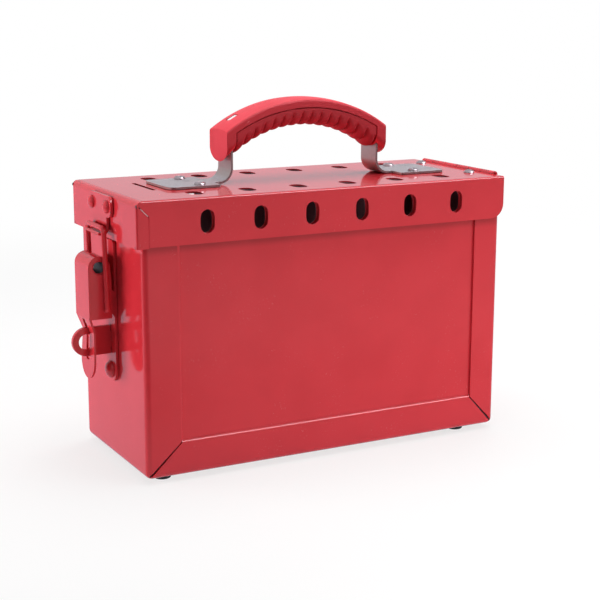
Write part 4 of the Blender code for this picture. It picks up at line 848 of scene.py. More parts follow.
@dataclass
class Workshop:
    """What every sub-assembly shares: the finishes, and the ways to keep, round and hang pieces."""

    nodes: Mapping[str, bpy.types.Object]
    smoother: EdgeSmoother = field(default_factory=EdgeSmoother)
    made: dict[Finish, bpy.types.Material] = field(default_factory=dict)
    room: tuple[Point, Point] = ((-104.8, -46.4, 3.6), (124.8, 46.4, 157.2))
    weld_distance: float = 0.01 * MM
    flat_within: float = 0.5
    face_weight: int = 60

    def finish(self, kind: Finish) -> bpy.types.Material:
        """A finish's material, made when it is first asked for.

        Args:
            kind: The finish.

        Returns:
            Its material.
        """
        if kind not in self.made:
            makers: dict[Finish, Callable[[], bpy.types.Material]] = {
                Finish.ENAMEL: Enamel().make,
                Finish.SHEET: Enamel("gloss_red_enamel_on_sheet", room=self.room).make,
                Finish.ZINC: GalvanisedSteel().make,
                Finish.STEEL: PlatedSteel().make,
                # painted glint: a near-white, half-metal colour for the tabs in the grip's windows
                Finish.GLINT_TAB: PlatedSteel("glint_strap_tab", bright=(0.94, 0.92, 0.93),
                                            dull=(0.80, 0.78, 0.79), roughness=0.30,
                                            metallic=0.30).make,
                # painted shade: near-black for the tube's bore, the bend reliefs and behind the mitres
                Finish.DARK_SHADE: PlatedSteel("dark_shade_paint", bright=(0.075, 0.060, 0.075),
                                         dull=(0.035, 0.028, 0.035), roughness=0.30,
                                         metallic=0.20).make,
                # painted highlight: the pale colour of the seams' slanted runs
                Finish.SEAM_HIGHLIGHT: PlatedSteel("pale_seam_highlight", bright=(0.86, 0.60, 0.63),
                                           dull=(0.74, 0.36, 0.40), roughness=0.20,
                                           metallic=0.0).make,
                Finish.COVER: GrainedPlastic().make,
                # painted shade: the insert's darker red stands in for the shade under the grip
                Finish.INSERT: GrainedPlastic("shaded_red_insert", red=(0.43, 0.024, 0.035),
                                              deep_red=(0.39, 0.021, 0.031),
                                              shaded_flank_red=(0.39, 0.021, 0.031), roughness=0.52).make,
                Finish.RUBBER: FootRubber().make,
            }
            self.made[kind] = makers[kind]()
        return self.made[kind]

    def round_edges(self, piece: bpy.types.Object, width: float, segments: int = 2,
                    from_angle: float = REAL_EDGE) -> None:
        """Round a piece's real edges and shade its bends smooth.

        Args:
            piece: The piece.
            width: How far the rounding reaches from an edge.
            segments: Faces across the rounding.
            from_angle: Degrees between faces from which an edge is rounded.
        """
        bevel = piece.modifiers.new("soft_edges", "BEVEL")
        bevel.width = width
        bevel.segments = segments
        bevel.limit_method = "ANGLE"
        bevel.angle_limit = math.radians(from_angle)
        bevel.use_clamp_overlap = True
        self.smoother.put_on(piece)
        even = piece.modifiers.new("even_shading", "WEIGHTED_NORMAL")
        even.keep_sharp = True
        even.weight = self.face_weight

    def keep(self, name: str, finish: Finish, edge: float, bends: WiderBends | None = None) -> None:
        """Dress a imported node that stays.

        Args:
            name: The node.
            finish: Its finish.
            edge: Width of the rounding on its edges.
            bends: What opens its bends.
        """
        node = self.nodes[name]
        node.material_slots[0].material = self.finish(finish)
        weld = node.modifiers.new("joined_faces", "WELD")
        weld.merge_threshold = self.weld_distance
        if bends:
            bends.cut_rows(node)
        flat = node.modifiers.new("whole_faces", "DECIMATE")
        flat.decimate_type = "DISSOLVE"
        flat.angle_limit = math.radians(self.flat_within)
        if bends:
            flat.delimit = {"SHARP"}
            bends.open_up(node)
        self.round_edges(node, edge)
        log.info("kept %s in %s", name, finish.value)

    def hang(self, piece: bpy.types.Object, finish: Finish, slot: Slot, carrier: Carrier,
             *stands_for: str, smooth: bool = False) -> None:
        """Give a built piece its finish, its carrier and the nodes that it stands for.

        Args:
            piece: The piece.
            finish: Its finish.
            slot: Its material slot; not used.
            carrier: The body that it rides on.
            stands_for: Nodes that it hides.
            smooth: Whether it is first shaded smooth but for its real edges.
        """
        if smooth:
            self.smoother.put_on(piece)
        piece.data.materials.clear()
        piece.data.materials.append(self.finish(finish))
        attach(piece, carrier.value)
        if stands_for:
            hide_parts(*stands_for)
        log.info("built %s on %s", piece.name, carrier.value)


class Skin:
    """A mesh under construction. The methods that add a shape give the skin back."""

    def __init__(self) -> None:
        """Start empty."""
        self.builder = bmesh.new()

    def ring(self, points: Sequence[Point | Vector]) -> list[bmesh.types.BMVert]:
        """Add a row of vertices."""
        return [self.builder.verts.new(point) for point in points]

    def bridge(self, rings: Sequence[list[bmesh.types.BMVert]]) -> None:
        """Join each ring to the next by faces.

        Args:
            rings: Rings of vertices, all with as many, or with a single one.
        """
        for first, second in zip(rings, rings[1:]):
            count = max(len(first), len(second))
            for i in range(count):
                after = (i + 1) % count
                corners = [first[i % len(first)], first[after % len(first)],
                           second[after % len(second)], second[i % len(second)]]
                corners = [vertex for k, vertex in enumerate(corners) if vertex not in corners[:k]]
                if len(corners) > 2:
                    self.builder.faces.new(corners)

    def turned(self, profile: Sequence[Pair], centre: Point | Vector, axis: Point,
               steps: int) -> "Skin":
        """Add a turned shape.

        Args:
            profile: (radius, distance along the axis) pairs, from one end round to the other. A
                profile that doesn't start on the axis is a closed ring.
            centre: Where the axis starts.
            axis: Its direction.
            steps: Faces round the axis.

        Returns:
            This skin.
        """
        along = Vector(axis).normalized()
        side = along.orthogonal().normalized()
        other = along.cross(side)
        angles = [math.tau * i / steps for i in range(steps)]
        spokes = [side * math.cos(a) + other * math.sin(a) for a in angles]
        rows = []
        for radius, distance in profile:
            base = Vector(centre) + along * distance
            rows.append(self.ring([base + spoke * radius for spoke in spokes] if radius else [base]))
        if profile[0][0] > 0:
            rows.append(rows[0])
        self.bridge(rows)
        return self

    def wire(self, path: Sequence[Vector], radius: float, sides: int, across: Vector) -> "Skin":
        """Add a round wire with domed ends along a flat path.

        Args:
            path: Its centreline.
            radius: The wire's radius.
            sides: Faces round it.
            across: The direction square to the path's plane.

        Returns:
            This skin.
        """
        last = len(path) - 1
        dome_rise = radius * 0.5
        angles = [math.tau * k / sides for k in range(sides)]
        rows = []
        for i, point in enumerate(path):
            run = (path[min(i + 1, last)] - path[max(i - 1, 0)]).normalized()
            out = run.cross(across).normalized()
            circle = [across * math.cos(a) + out * math.sin(a) for a in angles]
            row = self.ring([point + spoke * radius for spoke in circle])
            if 0 < i < last:
                rows.append(row)
                continue
            ahead = run * (dome_rise if i else -dome_rise)
            high, low = (self.ring([point + spoke * radius * math.cos(lift) + ahead * math.sin(lift)
                                    for spoke in circle])
                         for lift in (math.radians(60), math.radians(30)))
            cap = [self.ring([point + ahead]), high, low, row]
            rows += cap[::-1] if i else cap
        self.bridge(rows)
        return self

    def loft(self, sections: Sequence[Sequence[Point]]) -> "Skin":
        """Add a skin over a row of closed sections, with both ends filled.

        Args:
            sections: The sections, all with as many points.

        Returns:
            This skin.
        """
        rows = [self.ring(section) for section in sections]
        self.bridge(rows)
        self.builder.faces.new(rows[0][::-1])
        self.builder.faces.new(rows[-1])
        return self

    def piece(self, name: str, closed: bool = True) -> bpy.types.Object:
        """Turn the mesh into an object.

        Args:
            name: The object's name.
            closed: Whether it is a solid, whose faces are then turned outward.

        Returns:
            The object.
        """
        same = TOUCH / 20
        bmesh.ops.remove_doubles(self.builder, verts=self.builder.verts, dist=same)
        bmesh.ops.dissolve_degenerate(self.builder, dist=same, edges=self.builder.edges)
        if closed:
            bmesh.ops.recalc_face_normals(self.builder, faces=self.builder.faces)
        mesh = bpy.data.meshes.new(name)
        self.builder.to_mesh(mesh)
        self.builder.free()
        mesh.shade_smooth()
        made = bpy.data.objects.new(name, mesh)
        bpy.context.scene.collection.objects.link(made)
        return made


def cut_out(piece: bpy.types.Object, cutters: Sequence[bpy.types.Object]) -> None:
    """Take shapes out of a piece for good, and remove the shapes.

    Args:
        piece: The piece.
        cutters: The shapes to take out.
    """
    for cutter in cutters:
        taken = piece.modifiers.new("cut", "BOOLEAN")
        taken.operation = "DIFFERENCE"
        taken.solver = "EXACT"
        taken.object = cutter
    graph = bpy.context.evaluated_depsgraph_get()
    mesh = bpy.data.meshes.new_from_object(piece.evaluated_get(graph))
    piece.modifiers.clear()
    piece.data = mesh
    for cutter in cutters:
        bpy.data.objects.remove(cutter)


def arc(centre: Pair, radius: float, start: float, end: float, steps: int) -> list[Pair]:
    """Points on an arc, both ends included.

    Args:
        centre: The arc's centre.
        radius: Its radius.
        start: First angle, in degrees.
        end: Last angle, in degrees.
        steps: How many parts it has.

    Returns:
        The points.
    """
    angles = [math.radians(start + (end - start) * i / steps) for i in range(steps + 1)]
    return [(centre[0] + radius * math.cos(a), centre[1] + radius * math.sin(a)) for a in angles]


@dataclass
class SheetBox:
    """The bent wrap, its two panels and the lid, which stay as packed."""

    shop: Workshop
    edge: float = 0.36 * MM
    seam_radius: float = 0.18 * MM
    seam_sides: int = 12
    seam_x: float = -102.425 * MM
    seam_turn: float = 149.3 * MM
    seam_foot: float = 133.1 * MM
    pale_from: float = 0.5 * MM
    pale_to: float = 4.6 * MM
    relief: Pair = (-108.7 * MM, 155.4 * MM)
    relief_radius: float = 1.05 * MM
    relief_depth: float = 0.06 * MM
    relief_sides: int = 20
    frame_left: float = -85.23 * MM
    frame_right: float = 106.98 * MM
    frame_low: float = 22.0 * MM
    frame_high: float = 156.5 * MM
    bead_radius: float = 1.35 * MM
    bead_lap: float = 0.7 * MM
    mitre_half_width: float = 0.6 * MM
    mitres: Mapping[str, tuple[Pair, Pair]] = field(default_factory=lambda: {
        "left": ((-101.48 * MM, 6.89 * MM), (-84.97 * MM, 22.245 * MM)),
        "right": ((121.57 * MM, 7.03 * MM), (107.22 * MM, 22.25 * MM))})

    def fill_seams(self) -> None:
        """Fill the lid's mitred seams flush with the skirts, but not their upper ends; the pale slants
        are a painted highlight.
        """
        low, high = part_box("lid_shell")
        for side, face in (("front", low.y + self.seam_radius), ("back", high.y - self.seam_radius)):
            runs = {
                "upright": (Finish.ENAMEL, [(0.0, self.seam_foot), (0.0, self.seam_turn)]),
                "slant": (Finish.SEAM_HIGHLIGHT, [(-self.pale_from, self.seam_turn + self.pale_from),
                                          (-self.pale_to, self.seam_turn + self.pale_to)]),
            }
            for run, (finish, line) in runs.items():
                path = [Vector((self.seam_x + x, face, z)) for x, z in line]
                skin = Skin().wire(path, self.seam_radius, self.seam_sides, Vector(TO_BACK))
                bead = skin.piece(f"seam_filler_{run}_{side}")
                self.shop.hang(bead, finish, Slot.ENAMEL, Carrier.LID)

    def mark_reliefs(self) -> None:
        """Show the bend relief in the lid's two left corners: a shallow dish in painted shade."""
        low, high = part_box("lid_shell")
        depth, radius = self.relief_depth, self.relief_radius
        profile = [(0.0, -depth * 3), (radius / 2, -depth * 2), (radius, 0.0), (radius, -depth * 8),
                   (0.0, -depth * 8)]
        for side, face, way in (("front", low.y + depth, -1.0), ("back", high.y - depth, 1.0)):
            place = (self.relief[0], face, self.relief[1])
            skin = Skin().turned(profile, place, (0.0, way, 0.0), self.relief_sides)
            relief = skin.piece("bend_relief_" + side)
            self.shop.hang(relief, Finish.DARK_SHADE, Slot.ENAMEL, Carrier.LID)

    def seal_frames(self) -> None:
        """Run a round paint bead along the frames' lower and left edges, down onto the panels."""
        low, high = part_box("body_wrap")
        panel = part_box("front_panel")[0].y
        radius = panel - low.y - TOUCH
        curve = arc((radius, 0.0), self.bead_radius, 180, 90, 8)
        scale = radius / self.bead_radius
        section = [((x - radius) * scale + radius, out) for x, out in curve]
        section = [(0.0, -self.bead_lap)] + section + [(radius, -self.bead_lap)]
        runs = {
            "low": [[(x, inward, self.frame_low + out) for inward, out in section]
                    for x in (self.frame_left + self.bead_lap, self.frame_right)],
            "left": [[(self.frame_left + out, inward, z) for inward, out in section]
                     for z in (self.frame_low + self.bead_lap, self.frame_high)],
        }
        for side, face, way in (("front", low.y - TOUCH / 2, 1.0), ("back", high.y + TOUCH / 2, -1.0)):
            for run, sections in runs.items():
                placed = [[(x, face + way * inward, z) for x, inward, z in row] for row in sections]
                bead = Skin().loft(placed).piece(f"frame_bead_{run}_{side}")
                self.shop.hang(bead, Finish.ENAMEL, Slot.ENAMEL, Carrier.BOX, smooth=True)

    def line_mitres(self) -> None:
        """Lay a dark strip behind each open mitre of the frames, as painted shade in the slit."""
        low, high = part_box("body_wrap")
        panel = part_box("front_panel")[0].y - low.y
        back, front, ridge = panel - TOUCH, panel - TOUCH * 8, panel - TOUCH * 9
        half = self.mitre_half_width
        section = ((-half, back), (half, back), (half, front), (0.0, ridge), (-half, front))
        for side, face, way in (("front", low.y, 1.0), ("back", high.y, -1.0)):
            for end, (outer, inner) in self.mitres.items():
                run = (Vector(inner) - Vector(outer)).normalized()
                placed = [[(x - run.y * across, face + way * depth, z + run.x * across)
                           for across, depth in section] for x, z in (outer, inner)]
                strip = Skin().loft(placed).piece(f"mitre_strip_{end}_{side}")
                self.shop.hang(strip, Finish.DARK_SHADE, Slot.ENAMEL, Carrier.BOX)

    def build(self) -> None:
        """Dress the four sheet pieces, and add seams, reliefs, beads and strips."""
        low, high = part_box("lid_shell")
        bends = WiderBends(high.y, low.x, high.z)
        for name in ("body_wrap", "front_panel", "back_panel"):
            self.shop.keep(name, Finish.SHEET, self.edge)
        self.shop.keep("lid_shell", Finish.SHEET, self.edge, bends)
        self.fill_seams()
        self.mark_reliefs()
        self.seal_frames()
        self.line_mitres()


@dataclass
class Feet:
    """Four push-in rubber feet."""

    shop: Workshop
    radius: float = 5 * MM
    neck: float = 2.6 * MM
    bulb: float = 4 * MM
    drop: float = 3 * MM
    sheet: float = 1.2 * MM
    bulb_height: float = 3.2 * MM
    fillet: float = 0.9 * MM
    hollow: float = 0.35 * MM
    sides: int = 48

    def profile(self) -> list[Pair]:
        """Draw a foot's section.

        Returns:
            (radius, height) pairs, from the floor up to the bulb inside the box.
        """
        top = self.drop - TOUCH
        round_low = arc((self.radius - self.fillet, self.fillet), self.fillet, 270, 360, 6)
        small = self.fillet / 3
        round_high = arc((self.radius - small, top - small), small, 0, 90, 3)
        bulb_low = self.drop + self.sheet + TOUCH
        cone = [(self.bulb, bulb_low), (self.bulb, bulb_low + self.fillet / 2),
                (self.neck, bulb_low + self.bulb_height), (self.neck / 2, bulb_low + self.bulb_height)]
        return ([(0, self.hollow), (self.radius / 3, self.hollow), (self.radius / 2, 0)] + round_low
                + round_high + [(self.neck, top), (self.neck, bulb_low)] + cone
                + [(0, bulb_low + self.bulb_height)])

    def build(self) -> None:
        """Turn each foot where its node stands."""
        for end in ("front_left", "front_right", "back_left", "back_right"):
            node = "foot_" + end
            low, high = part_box(node)
            place = ((low.x + high.x) / 2, (low.y + high.y) / 2, 0)
            foot = Skin().turned(self.profile(), place, UPWARD, self.sides).piece("rubber_foot_" + end)
            self.shop.hang(foot, Finish.RUBBER, Slot.RUBBER, Carrier.BOX, node, smooth=True)


class RivetKind(Enum):
    """The two sorts of rivet on the box."""

    BLIND = "blind"
    ROUND = "round"


@dataclass(frozen=True)
class RivetSize:
    """A rivet's head radius, head height and shank radius."""

    head: float
    height: float
    shank: float


@dataclass
class RivetSet:
    """Rivets of one size, each seated on a face and looking one way."""

    shop: Workshop
    kind: RivetKind
    size: RivetSize
    places: Mapping[str, Point]
    outward: Point
    carrier: Carrier
    grip: float
    finish: Finish = Finish.STEEL
    bore: float = 0.95 * MM
    tail: float = 2.8 * MM
    tail_length: float = 2.6 * MM
    tail_tip: float = 0.3 * MM
    tail_chamfer: float = 0.2 * MM
    edge: float = 0.12 * MM
    flange_edge: float = 0.14 * MM
    sides: int = 48

    def blind_profile(self) -> list[Pair]:
        """Draw a pulled rivet: dished flange, raised rim round the bore, broken stem inside.

        Returns:
            (radius, distance above the seat) pairs, from the tail round to the stem.
        """
        head, height, shank = self.size.head, self.size.height, self.size.shank
        rim, lip_radius = height * 0.28, height * 0.12
        turns = [math.radians(10 * i) for i in range(10)]
        crown = [(shank + (head - shank) * math.cos(a), rim + (height - rim) * math.sin(a))
                 for a in turns]
        lip = arc((self.bore + lip_radius, height - lip_radius), lip_radius, 90, 180, 4)
        stem = [(self.bore, height * 0.55), (self.bore * 0.86, height * 0.50),
                (self.bore * 0.55, height * 0.58), (0, height * 0.46)]
        flange = [(head - self.edge, TOUCH), (head, self.flange_edge)]
        below = -self.grip
        end = below - self.tail_length
        back = [(0, end - self.tail_tip), (self.bore, end - self.tail_chamfer), (self.tail * 0.8, end),
                (self.tail, end + self.tail_length * 0.35),
                (self.tail, below - self.tail_length * 0.2),
                (self.tail * 0.9, below - TOUCH), (shank, below - TOUCH), (shank, TOUCH)]
        return back + flange + crown + lip + stem

    def round_profile(self) -> list[Pair]:
        """Draw a solid rivet: round head outside, set head inside.

        Returns:
            (radius, distance above the seat) pairs, from the set head round to the dome.
        """
        head, height, shank = self.size.head, self.size.height, self.size.shank
        turns = [math.radians(7.5 * i) for i in range(12)]
        dome = [(head * math.cos(a), self.edge + (height - self.edge) * math.sin(a)) for a in turns]
        below = -self.grip
        set_head = [(0, below - height * 0.5), (head * 0.55, below - height * 0.46),
                    (head * 0.74, below - height * 0.25), (head * 0.8, below - TOUCH),
                    (shank, below - TOUCH), (shank, TOUCH)]
        return set_head + [(head - self.edge / 2, TOUCH)] + dome + [(0, height)]

    def build(self) -> None:
        """Turn each rivet."""
        profile = self.blind_profile() if self.kind is RivetKind.BLIND else self.round_profile()
        for node, place in self.places.items():
            skin = Skin().turned(profile, place, self.outward, self.sides)
            rivet = skin.piece("turned_" + node)
            self.shop.hang(rivet, self.finish, Slot.RIVET, self.carrier, node, smooth=True)


@dataclass
class Fasteners:
    """Every rivet on the box, where its node sits."""

    shop: Workshop
    gap: float = 0.25 * MM
    lid_sheet: float = 1.2 * MM
    strap_sheet: float = 1.3 * MM
    leaf_sheet: float = 1.1 * MM
    keeper_sheet: float = 1.8 * MM
    base_sheet: float = 1.5 * MM
    handle_size: RivetSize = RivetSize(3.3 * MM, 1.65 * MM, 1.9 * MM)
    keeper_size: RivetSize = RivetSize(3.7 * MM, 2.3 * MM, 1.9 * MM)
    hinge_size: RivetSize = RivetSize(3.3 * MM, 1.95 * MM, 1.6 * MM)
    latch_size: RivetSize = RivetSize(5.0 * MM, 3.2 * MM, 2.4 * MM)

    @staticmethod
    def seats(axis: Axis, level: float, *nodes: str) -> dict[str, Point]:
        """Where a set's rivets sit: in the middle of their nodes, on one level.

        Args:
            axis: The axis that they point along.
            level: Where the faces that they sit on lie on it.
            nodes: Their nodes.

        Returns:
            The places, by node.
        """
        places: dict[str, Point] = {}
        for node in nodes:
            low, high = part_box(node)
            middle = (low + high) / 2
            middle[axis.value] = level
            places[node] = tuple(middle)
        return places

    def handle_set(self) -> RivetSet:
        """The four blind rivets through the strap's feet.

        Returns:
            The set.
        """
        level = LID_TOP + self.gap + self.strap_sheet
        places = self.seats(Axis.Z, level, "handle_rivet_left_front", "handle_rivet_left_back",
                            "handle_rivet_right_front", "handle_rivet_right_back")
        return RivetSet(self.shop, RivetKind.BLIND, self.handle_size, places, UPWARD, Carrier.LID,
                        self.strap_sheet + self.gap + self.lid_sheet)

    def keeper_set(self) -> RivetSet:
        """The keeper's two rivets, on the lid's left skirt.

        Returns:
            The set.
        """
        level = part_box("lid_shell")[0].x - self.gap - self.keeper_sheet
        places = self.seats(Axis.X, level, "keeper_rivet_front", "keeper_rivet_back")
        return RivetSet(self.shop, RivetKind.ROUND, self.keeper_size, places, TO_LATCH, Carrier.LID,
                        self.keeper_sheet + self.gap + self.lid_sheet, Finish.ENAMEL)

    def hinge_lid_set(self) -> RivetSet:
        """The two rivets of the hinge's lid leaf, which lies under the lid.

        Returns:
            The set.
        """
        places = self.seats(Axis.Z, LID_TOP, "hinge_lid_rivet_front", "hinge_lid_rivet_back")
        return RivetSet(self.shop, RivetKind.ROUND, self.hinge_size, places, UPWARD, Carrier.LID,
                        self.lid_sheet + self.gap + self.leaf_sheet)

    def hinge_body_set(self) -> RivetSet:
        """The two rivets of the hinge's body leaf, on the right end.

        Returns:
            The set.
        """
        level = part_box("body_wrap")[1].x + self.gap + self.leaf_sheet
        places = self.seats(Axis.X, level, "hinge_body_rivet_front", "hinge_body_rivet_back")
        return RivetSet(self.shop, RivetKind.ROUND, self.hinge_size, places, TO_HINGE, Carrier.BOX,
                        self.lid_sheet + self.gap + self.leaf_sheet)

    def latch_set(self) -> RivetSet:
        """The latch base's two rivets, on the left end.

        Returns:
            The set.
        """
        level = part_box("body_wrap")[0].x - self.gap - self.base_sheet
        places = self.seats(Axis.X, level, "latch_rivet_low", "latch_rivet_high")
        return RivetSet(self.shop, RivetKind.ROUND, self.latch_size, places, TO_LATCH, Carrier.BOX,
                        self.base_sheet + self.gap + self.lid_sheet, Finish.ENAMEL)

    def build(self) -> None:
        """Build the five sets."""
        for make in (self.handle_set, self.keeper_set, self.hinge_lid_set, self.hinge_body_set,
                     self.latch_set):
            make().build()


@dataclass
class StrapHandle:
    """The bent steel strap with its two wide feet."""

    shop: Workshop
    centre: float = 13.875 * MM
    gap: float = 0.25 * MM
    sheet: float = 1.3 * MM
    half_width: float = 8.75 * MM
    half_span: float = 48.8 * MM
    foot_half_width: float = 19 * MM
    foot_reach: float = 91.4 * MM
    foot_inner: float = 59.5 * MM
    foot_corner: float = 5 * MM
    shoulder_corner: float = 1.3 * MM
    foot_bend: float = 7.5 * MM
    rise: float = 40.5 * MM
    crown_radius: float = 150 * MM
    shoulder_run: float = 6.8 * MM
    edge: float = 0.3 * MM
    edge_from: float = 40.0

    @property
    def top(self) -> float:
        """Height of the feet's upper faces."""
        return LID_TOP + self.gap + self.sheet

    def left_line(self) -> list[Pair]:
        """The outer face from the left leg's bend to the crown.

        Returns:
            (x, z) pairs, with x from the handle's middle.
        """
        bend = (-self.half_span - self.foot_bend, self.top + self.foot_bend)
        line = arc(bend, self.foot_bend, 270, 360, 20)
        crown = LID_TOP + self.rise + self.sheet / 2 - self.crown_radius
        slope = math.asin((self.half_span - self.shoulder_run) / self.crown_radius)
        radius = self.shoulder_run / (1 - math.sin(slope))
        middle = (radius - self.half_span,
                  crown + (self.crown_radius - radius) * math.cos(slope))
        turn = 90 + math.degrees(slope)
        line += arc(middle, radius, 180, turn, 20)
        line += arc((0, crown), self.crown_radius, turn, 90, 16)[1:]
        return line

    def left_rows(self) -> list[tuple[Pair, float | None]]:
        """Rows across the left foot, then up the leg.

        Returns:
            For each row its middle and, on the foot, the foot's half width there.
        """
        rows: list[tuple[Pair, float | None]] = []
        steps = 12
        for i in range(steps + 1):
            angle = math.radians(90 * i / steps)
            x = -self.foot_reach + self.foot_corner * (1 - math.cos(angle))
            narrower = self.foot_corner * (1 - math.sin(angle))
            rows.append(((x, self.top), self.foot_half_width - narrower))
        start = -self.foot_reach + self.foot_corner
        span = self.foot_reach - self.foot_corner - self.foot_inner - self.shoulder_corner
        for share in (0.2, 0.4, 0.6, 0.8, 1.0):
            rows.append(((start + span * share, self.top), self.foot_half_width))
        steps = 6
        for i in range(1, steps + 1):
            angle = math.radians(90 * i / steps)
            x = -self.foot_inner - self.shoulder_corner * (1 - math.sin(angle))
            narrower = self.shoulder_corner * (1 - math.cos(angle))
            rows.append(((x, self.top), self.foot_half_width - narrower))
        return rows + [(point, None) for point in self.left_line()]

    def build(self) -> None:
        """Lay a grid along the strap's outer face and give it its thickness."""
        left = self.left_rows()
        rows = left + [((-x, z), width) for (x, z), width in left[-2::-1]]
        skin = Skin()
        core = (-1.0, -0.5, 0.0, 0.5, 1.0)
        grid = []
        for (x, z), width in rows:
            row = {}
            for k, share in enumerate(core):
                row[k] = (self.centre + x, self.half_width * share, z)
            if width is not None:
                for step in (1, 2):
                    y = self.half_width + (width - self.half_width) * step / 2
                    row[len(core) - 1 + step] = (self.centre + x, y, z)
                    row[-step] = (self.centre + x, -y, z)
            grid.append({k: skin.builder.verts.new(point) for k, point in row.items()})
        for row, following in zip(grid, grid[1:]):
            for k in sorted(row):
                corners = (row.get(k), following.get(k), following.get(k + 1), row.get(k + 1))
                if all(corners):
                    skin.builder.faces.new(corners)
        strap = skin.piece("galvanised_strap", closed=False)
        thickness = strap.modifiers.new("sheet", "SOLIDIFY")
        thickness.thickness = self.sheet
        thickness.offset = -1.0
        thickness.use_even_offset = True
        self.shop.round_edges(strap, self.edge, 3, self.edge_from)
        self.shop.hang(strap, Finish.ZINC, Slot.ZINC, Carrier.LID, "handle_strap")


@dataclass
class MouldedGrip:
    """The grip: a smooth cover over the strap and a ribbed insert under the fingers."""

    shop: Workshop
    centre: float = 13.875 * MM
    half_length: float = 52.6 * MM
    half_width: float = 12 * MM
    rise: float = 47.7 * MM
    crown_radius: float = 90.5 * MM
    depth: float = 14.3 * MM
    seam_depth: float = 5.5 * MM
    seam_lift: float = 1.0 * MM
    belly: float = 8 * MM
    fillet: float = 1.7 * MM
    crowning: float = 0.7 * MM
    insert_half_length: float = 46 * MM
    insert_depth: float = 16.4 * MM
    insert_setback: float = 0.3 * MM
    insert_belly: float = 9.0 * MM
    gap: float = 0.65 * MM
    gap_depth: float = 1.2 * MM
    ribs: int = 15
    rib_depth: float = 2.4 * MM
    rib_rise_share: float = 0.26
    window_length: float = 6 * MM
    window_width: float = 4.75 * MM
    window_middle: float = 2.625 * MM
    window_reach: float = 42.5 * MM
    window_corner: float = 0.9 * MM
    cutter_below: float = 2 * MM
    cutter_above: float = 8 * MM
    tab_drop: float = 0.45 * MM
    tab_sheet: float = 0.8 * MM
    tab_margin: float = 0.35 * MM
    tab_edge: float = 0.15 * MM
    tab_edge_from: float = 50.0
    cover_edge: float = 0.35 * MM
    cover_edge_from: float = 38.0
    cover_steps: int = 64
    end_steps: int = 4
    rib_steps: int = 12
    belly_steps: int = 28

    def level(self, radius: float, along: float) -> float:
        """Height of one of the grip's curves at a distance from its middle."""
        return LID_TOP + self.rise - self.crown_radius + math.sqrt(radius ** 2 - along ** 2)

    def seam_level(self, along: float) -> float:
        """Height of the seam between the mouldings, which bends less than the crown."""
        lift = self.seam_lift * (along / self.insert_half_length) ** 2
        return self.level(self.crown_radius - self.seam_depth, along) + lift

    def belly_line(self, half: float, shoulder: float, drop: float, lift: float = 0.0) -> list[Pair]:
        """The round underside, from the back to the front.

        Args:
            half: Half its width.
            shoulder: Height where the sides end.
            drop: How far it hangs below them.
            lift: How much of that a groove takes away.

        Returns:
            (y, z) pairs.
        """
        line = []
        for i in range(self.belly_steps + 1):
            angle = math.radians(180 + 180 * i / self.belly_steps)
            depth = max(-math.sin(angle), 0.0)
            cut = lift * min(1.0, depth / self.rib_rise_share)
            line.append(((half - cut) * math.cos(angle), shoulder - (drop - cut) * depth))
        return line

    def cover_section(self, along: float, whole: bool) -> list[Point]:
        """One upright section of the cover.

        Args:
            along: Distance from the grip's middle.
            whole: Whether it is a section of an end, which goes down to the belly.

        Returns:
            The section's points.
        """
        top = self.level(self.crown_radius, along)
        seam = self.seam_level(along)
        shoulder = self.level(self.crown_radius - self.depth, along) + self.belly
        flank = top - self.crowning
        inner = self.half_width - self.fillet
        line = arc((inner, flank - self.fillet), self.fillet, 0, 90, 8)
        line += [(inner * share, flank + self.crowning * (1 - share ** 2))
                 for share in (0.8, 0.6, 0.4, 0.2)]
        line += [(0, top)] + [(-y, z) for y, z in line[::-1]]
        belly = self.belly_line(self.half_width, shoulder, self.belly)
        line += belly if whole else [(y, seam) for y, _ in belly]
        return [(self.centre + along, y, z) for y, z in line]

    def window_line(self, x: float, margin: float) -> list[Pair]:
        """Outline of a window.

        Args:
            x: Where its middle is.
            margin: How far the outline keeps inside the window.

        Returns:
            (x, y) pairs.
        """
        corner = self.window_corner
        line: list[Pair] = []
        for right, back, start in ((1, 1, 0), (-1, 1, 90), (-1, -1, 180), (1, -1, 270)):
            middle = (x + right * (self.window_length / 2 - margin - corner),
                      self.window_middle + back * (self.window_width / 2 - margin - corner))
            line += arc(middle, corner, start, start + 90, 5)
        return line

    def build_tabs(self) -> None:
        """Show a bright tab of the strap in each window, in line with the crown there: a painted glint,
        set nearer the surface than the strap.
        """
        for side, name in ((-1, "left"), (1, "right")):
            outline = self.window_line(self.centre + side * self.window_reach, self.tab_margin)
            crown = [(x, y, self.level(self.crown_radius, x - self.centre)) for x, y in outline]
            faces = [[(x, y, z - drop) for x, y, z in crown]
                     for drop in (self.tab_drop + self.tab_sheet, self.tab_drop)]
            tab = Skin().loft(faces).piece("strap_tab_" + name)
            self.shop.round_edges(tab, self.tab_edge, 2, self.tab_edge_from)
            self.shop.hang(tab, Finish.GLINT_TAB, Slot.ZINC, Carrier.LID)

    def build_cover(self) -> None:
        """Loft the cover and cut its windows over the strap."""
        cheek = self.insert_half_length + self.gap
        ends = [self.half_length + (cheek - self.half_length) * i / self.end_steps
                for i in range(self.end_steps + 1)]
        middle = [cheek * (1 - 2 * i / self.cover_steps) for i in range(self.cover_steps + 1)]
        sections = [self.cover_section(-along, True) for along in ends]
        sections += [self.cover_section(-along, False) for along in middle]
        sections += [self.cover_section(along, True) for along in ends[::-1]]
        cover = Skin().loft(sections).piece("grip_top")
        low = self.seam_level(self.window_reach) - self.cutter_below
        high = self.level(self.crown_radius, self.window_reach) + self.cutter_above
        cutters = []
        for side in (-1, 1):
            outline = self.window_line(self.centre + side * self.window_reach, 0.0)
            window = Skin().loft([[(x, y, z) for x, y in outline] for z in (low, high)])
            cutters.append(window.piece(f"window_cutter_{side}"))
        cut_out(cover, cutters)
        self.shop.round_edges(cover, self.cover_edge, 3, self.cover_edge_from)
        self.shop.hang(cover, Finish.COVER, Slot.PLASTIC, Carrier.LID, "grip_cover")

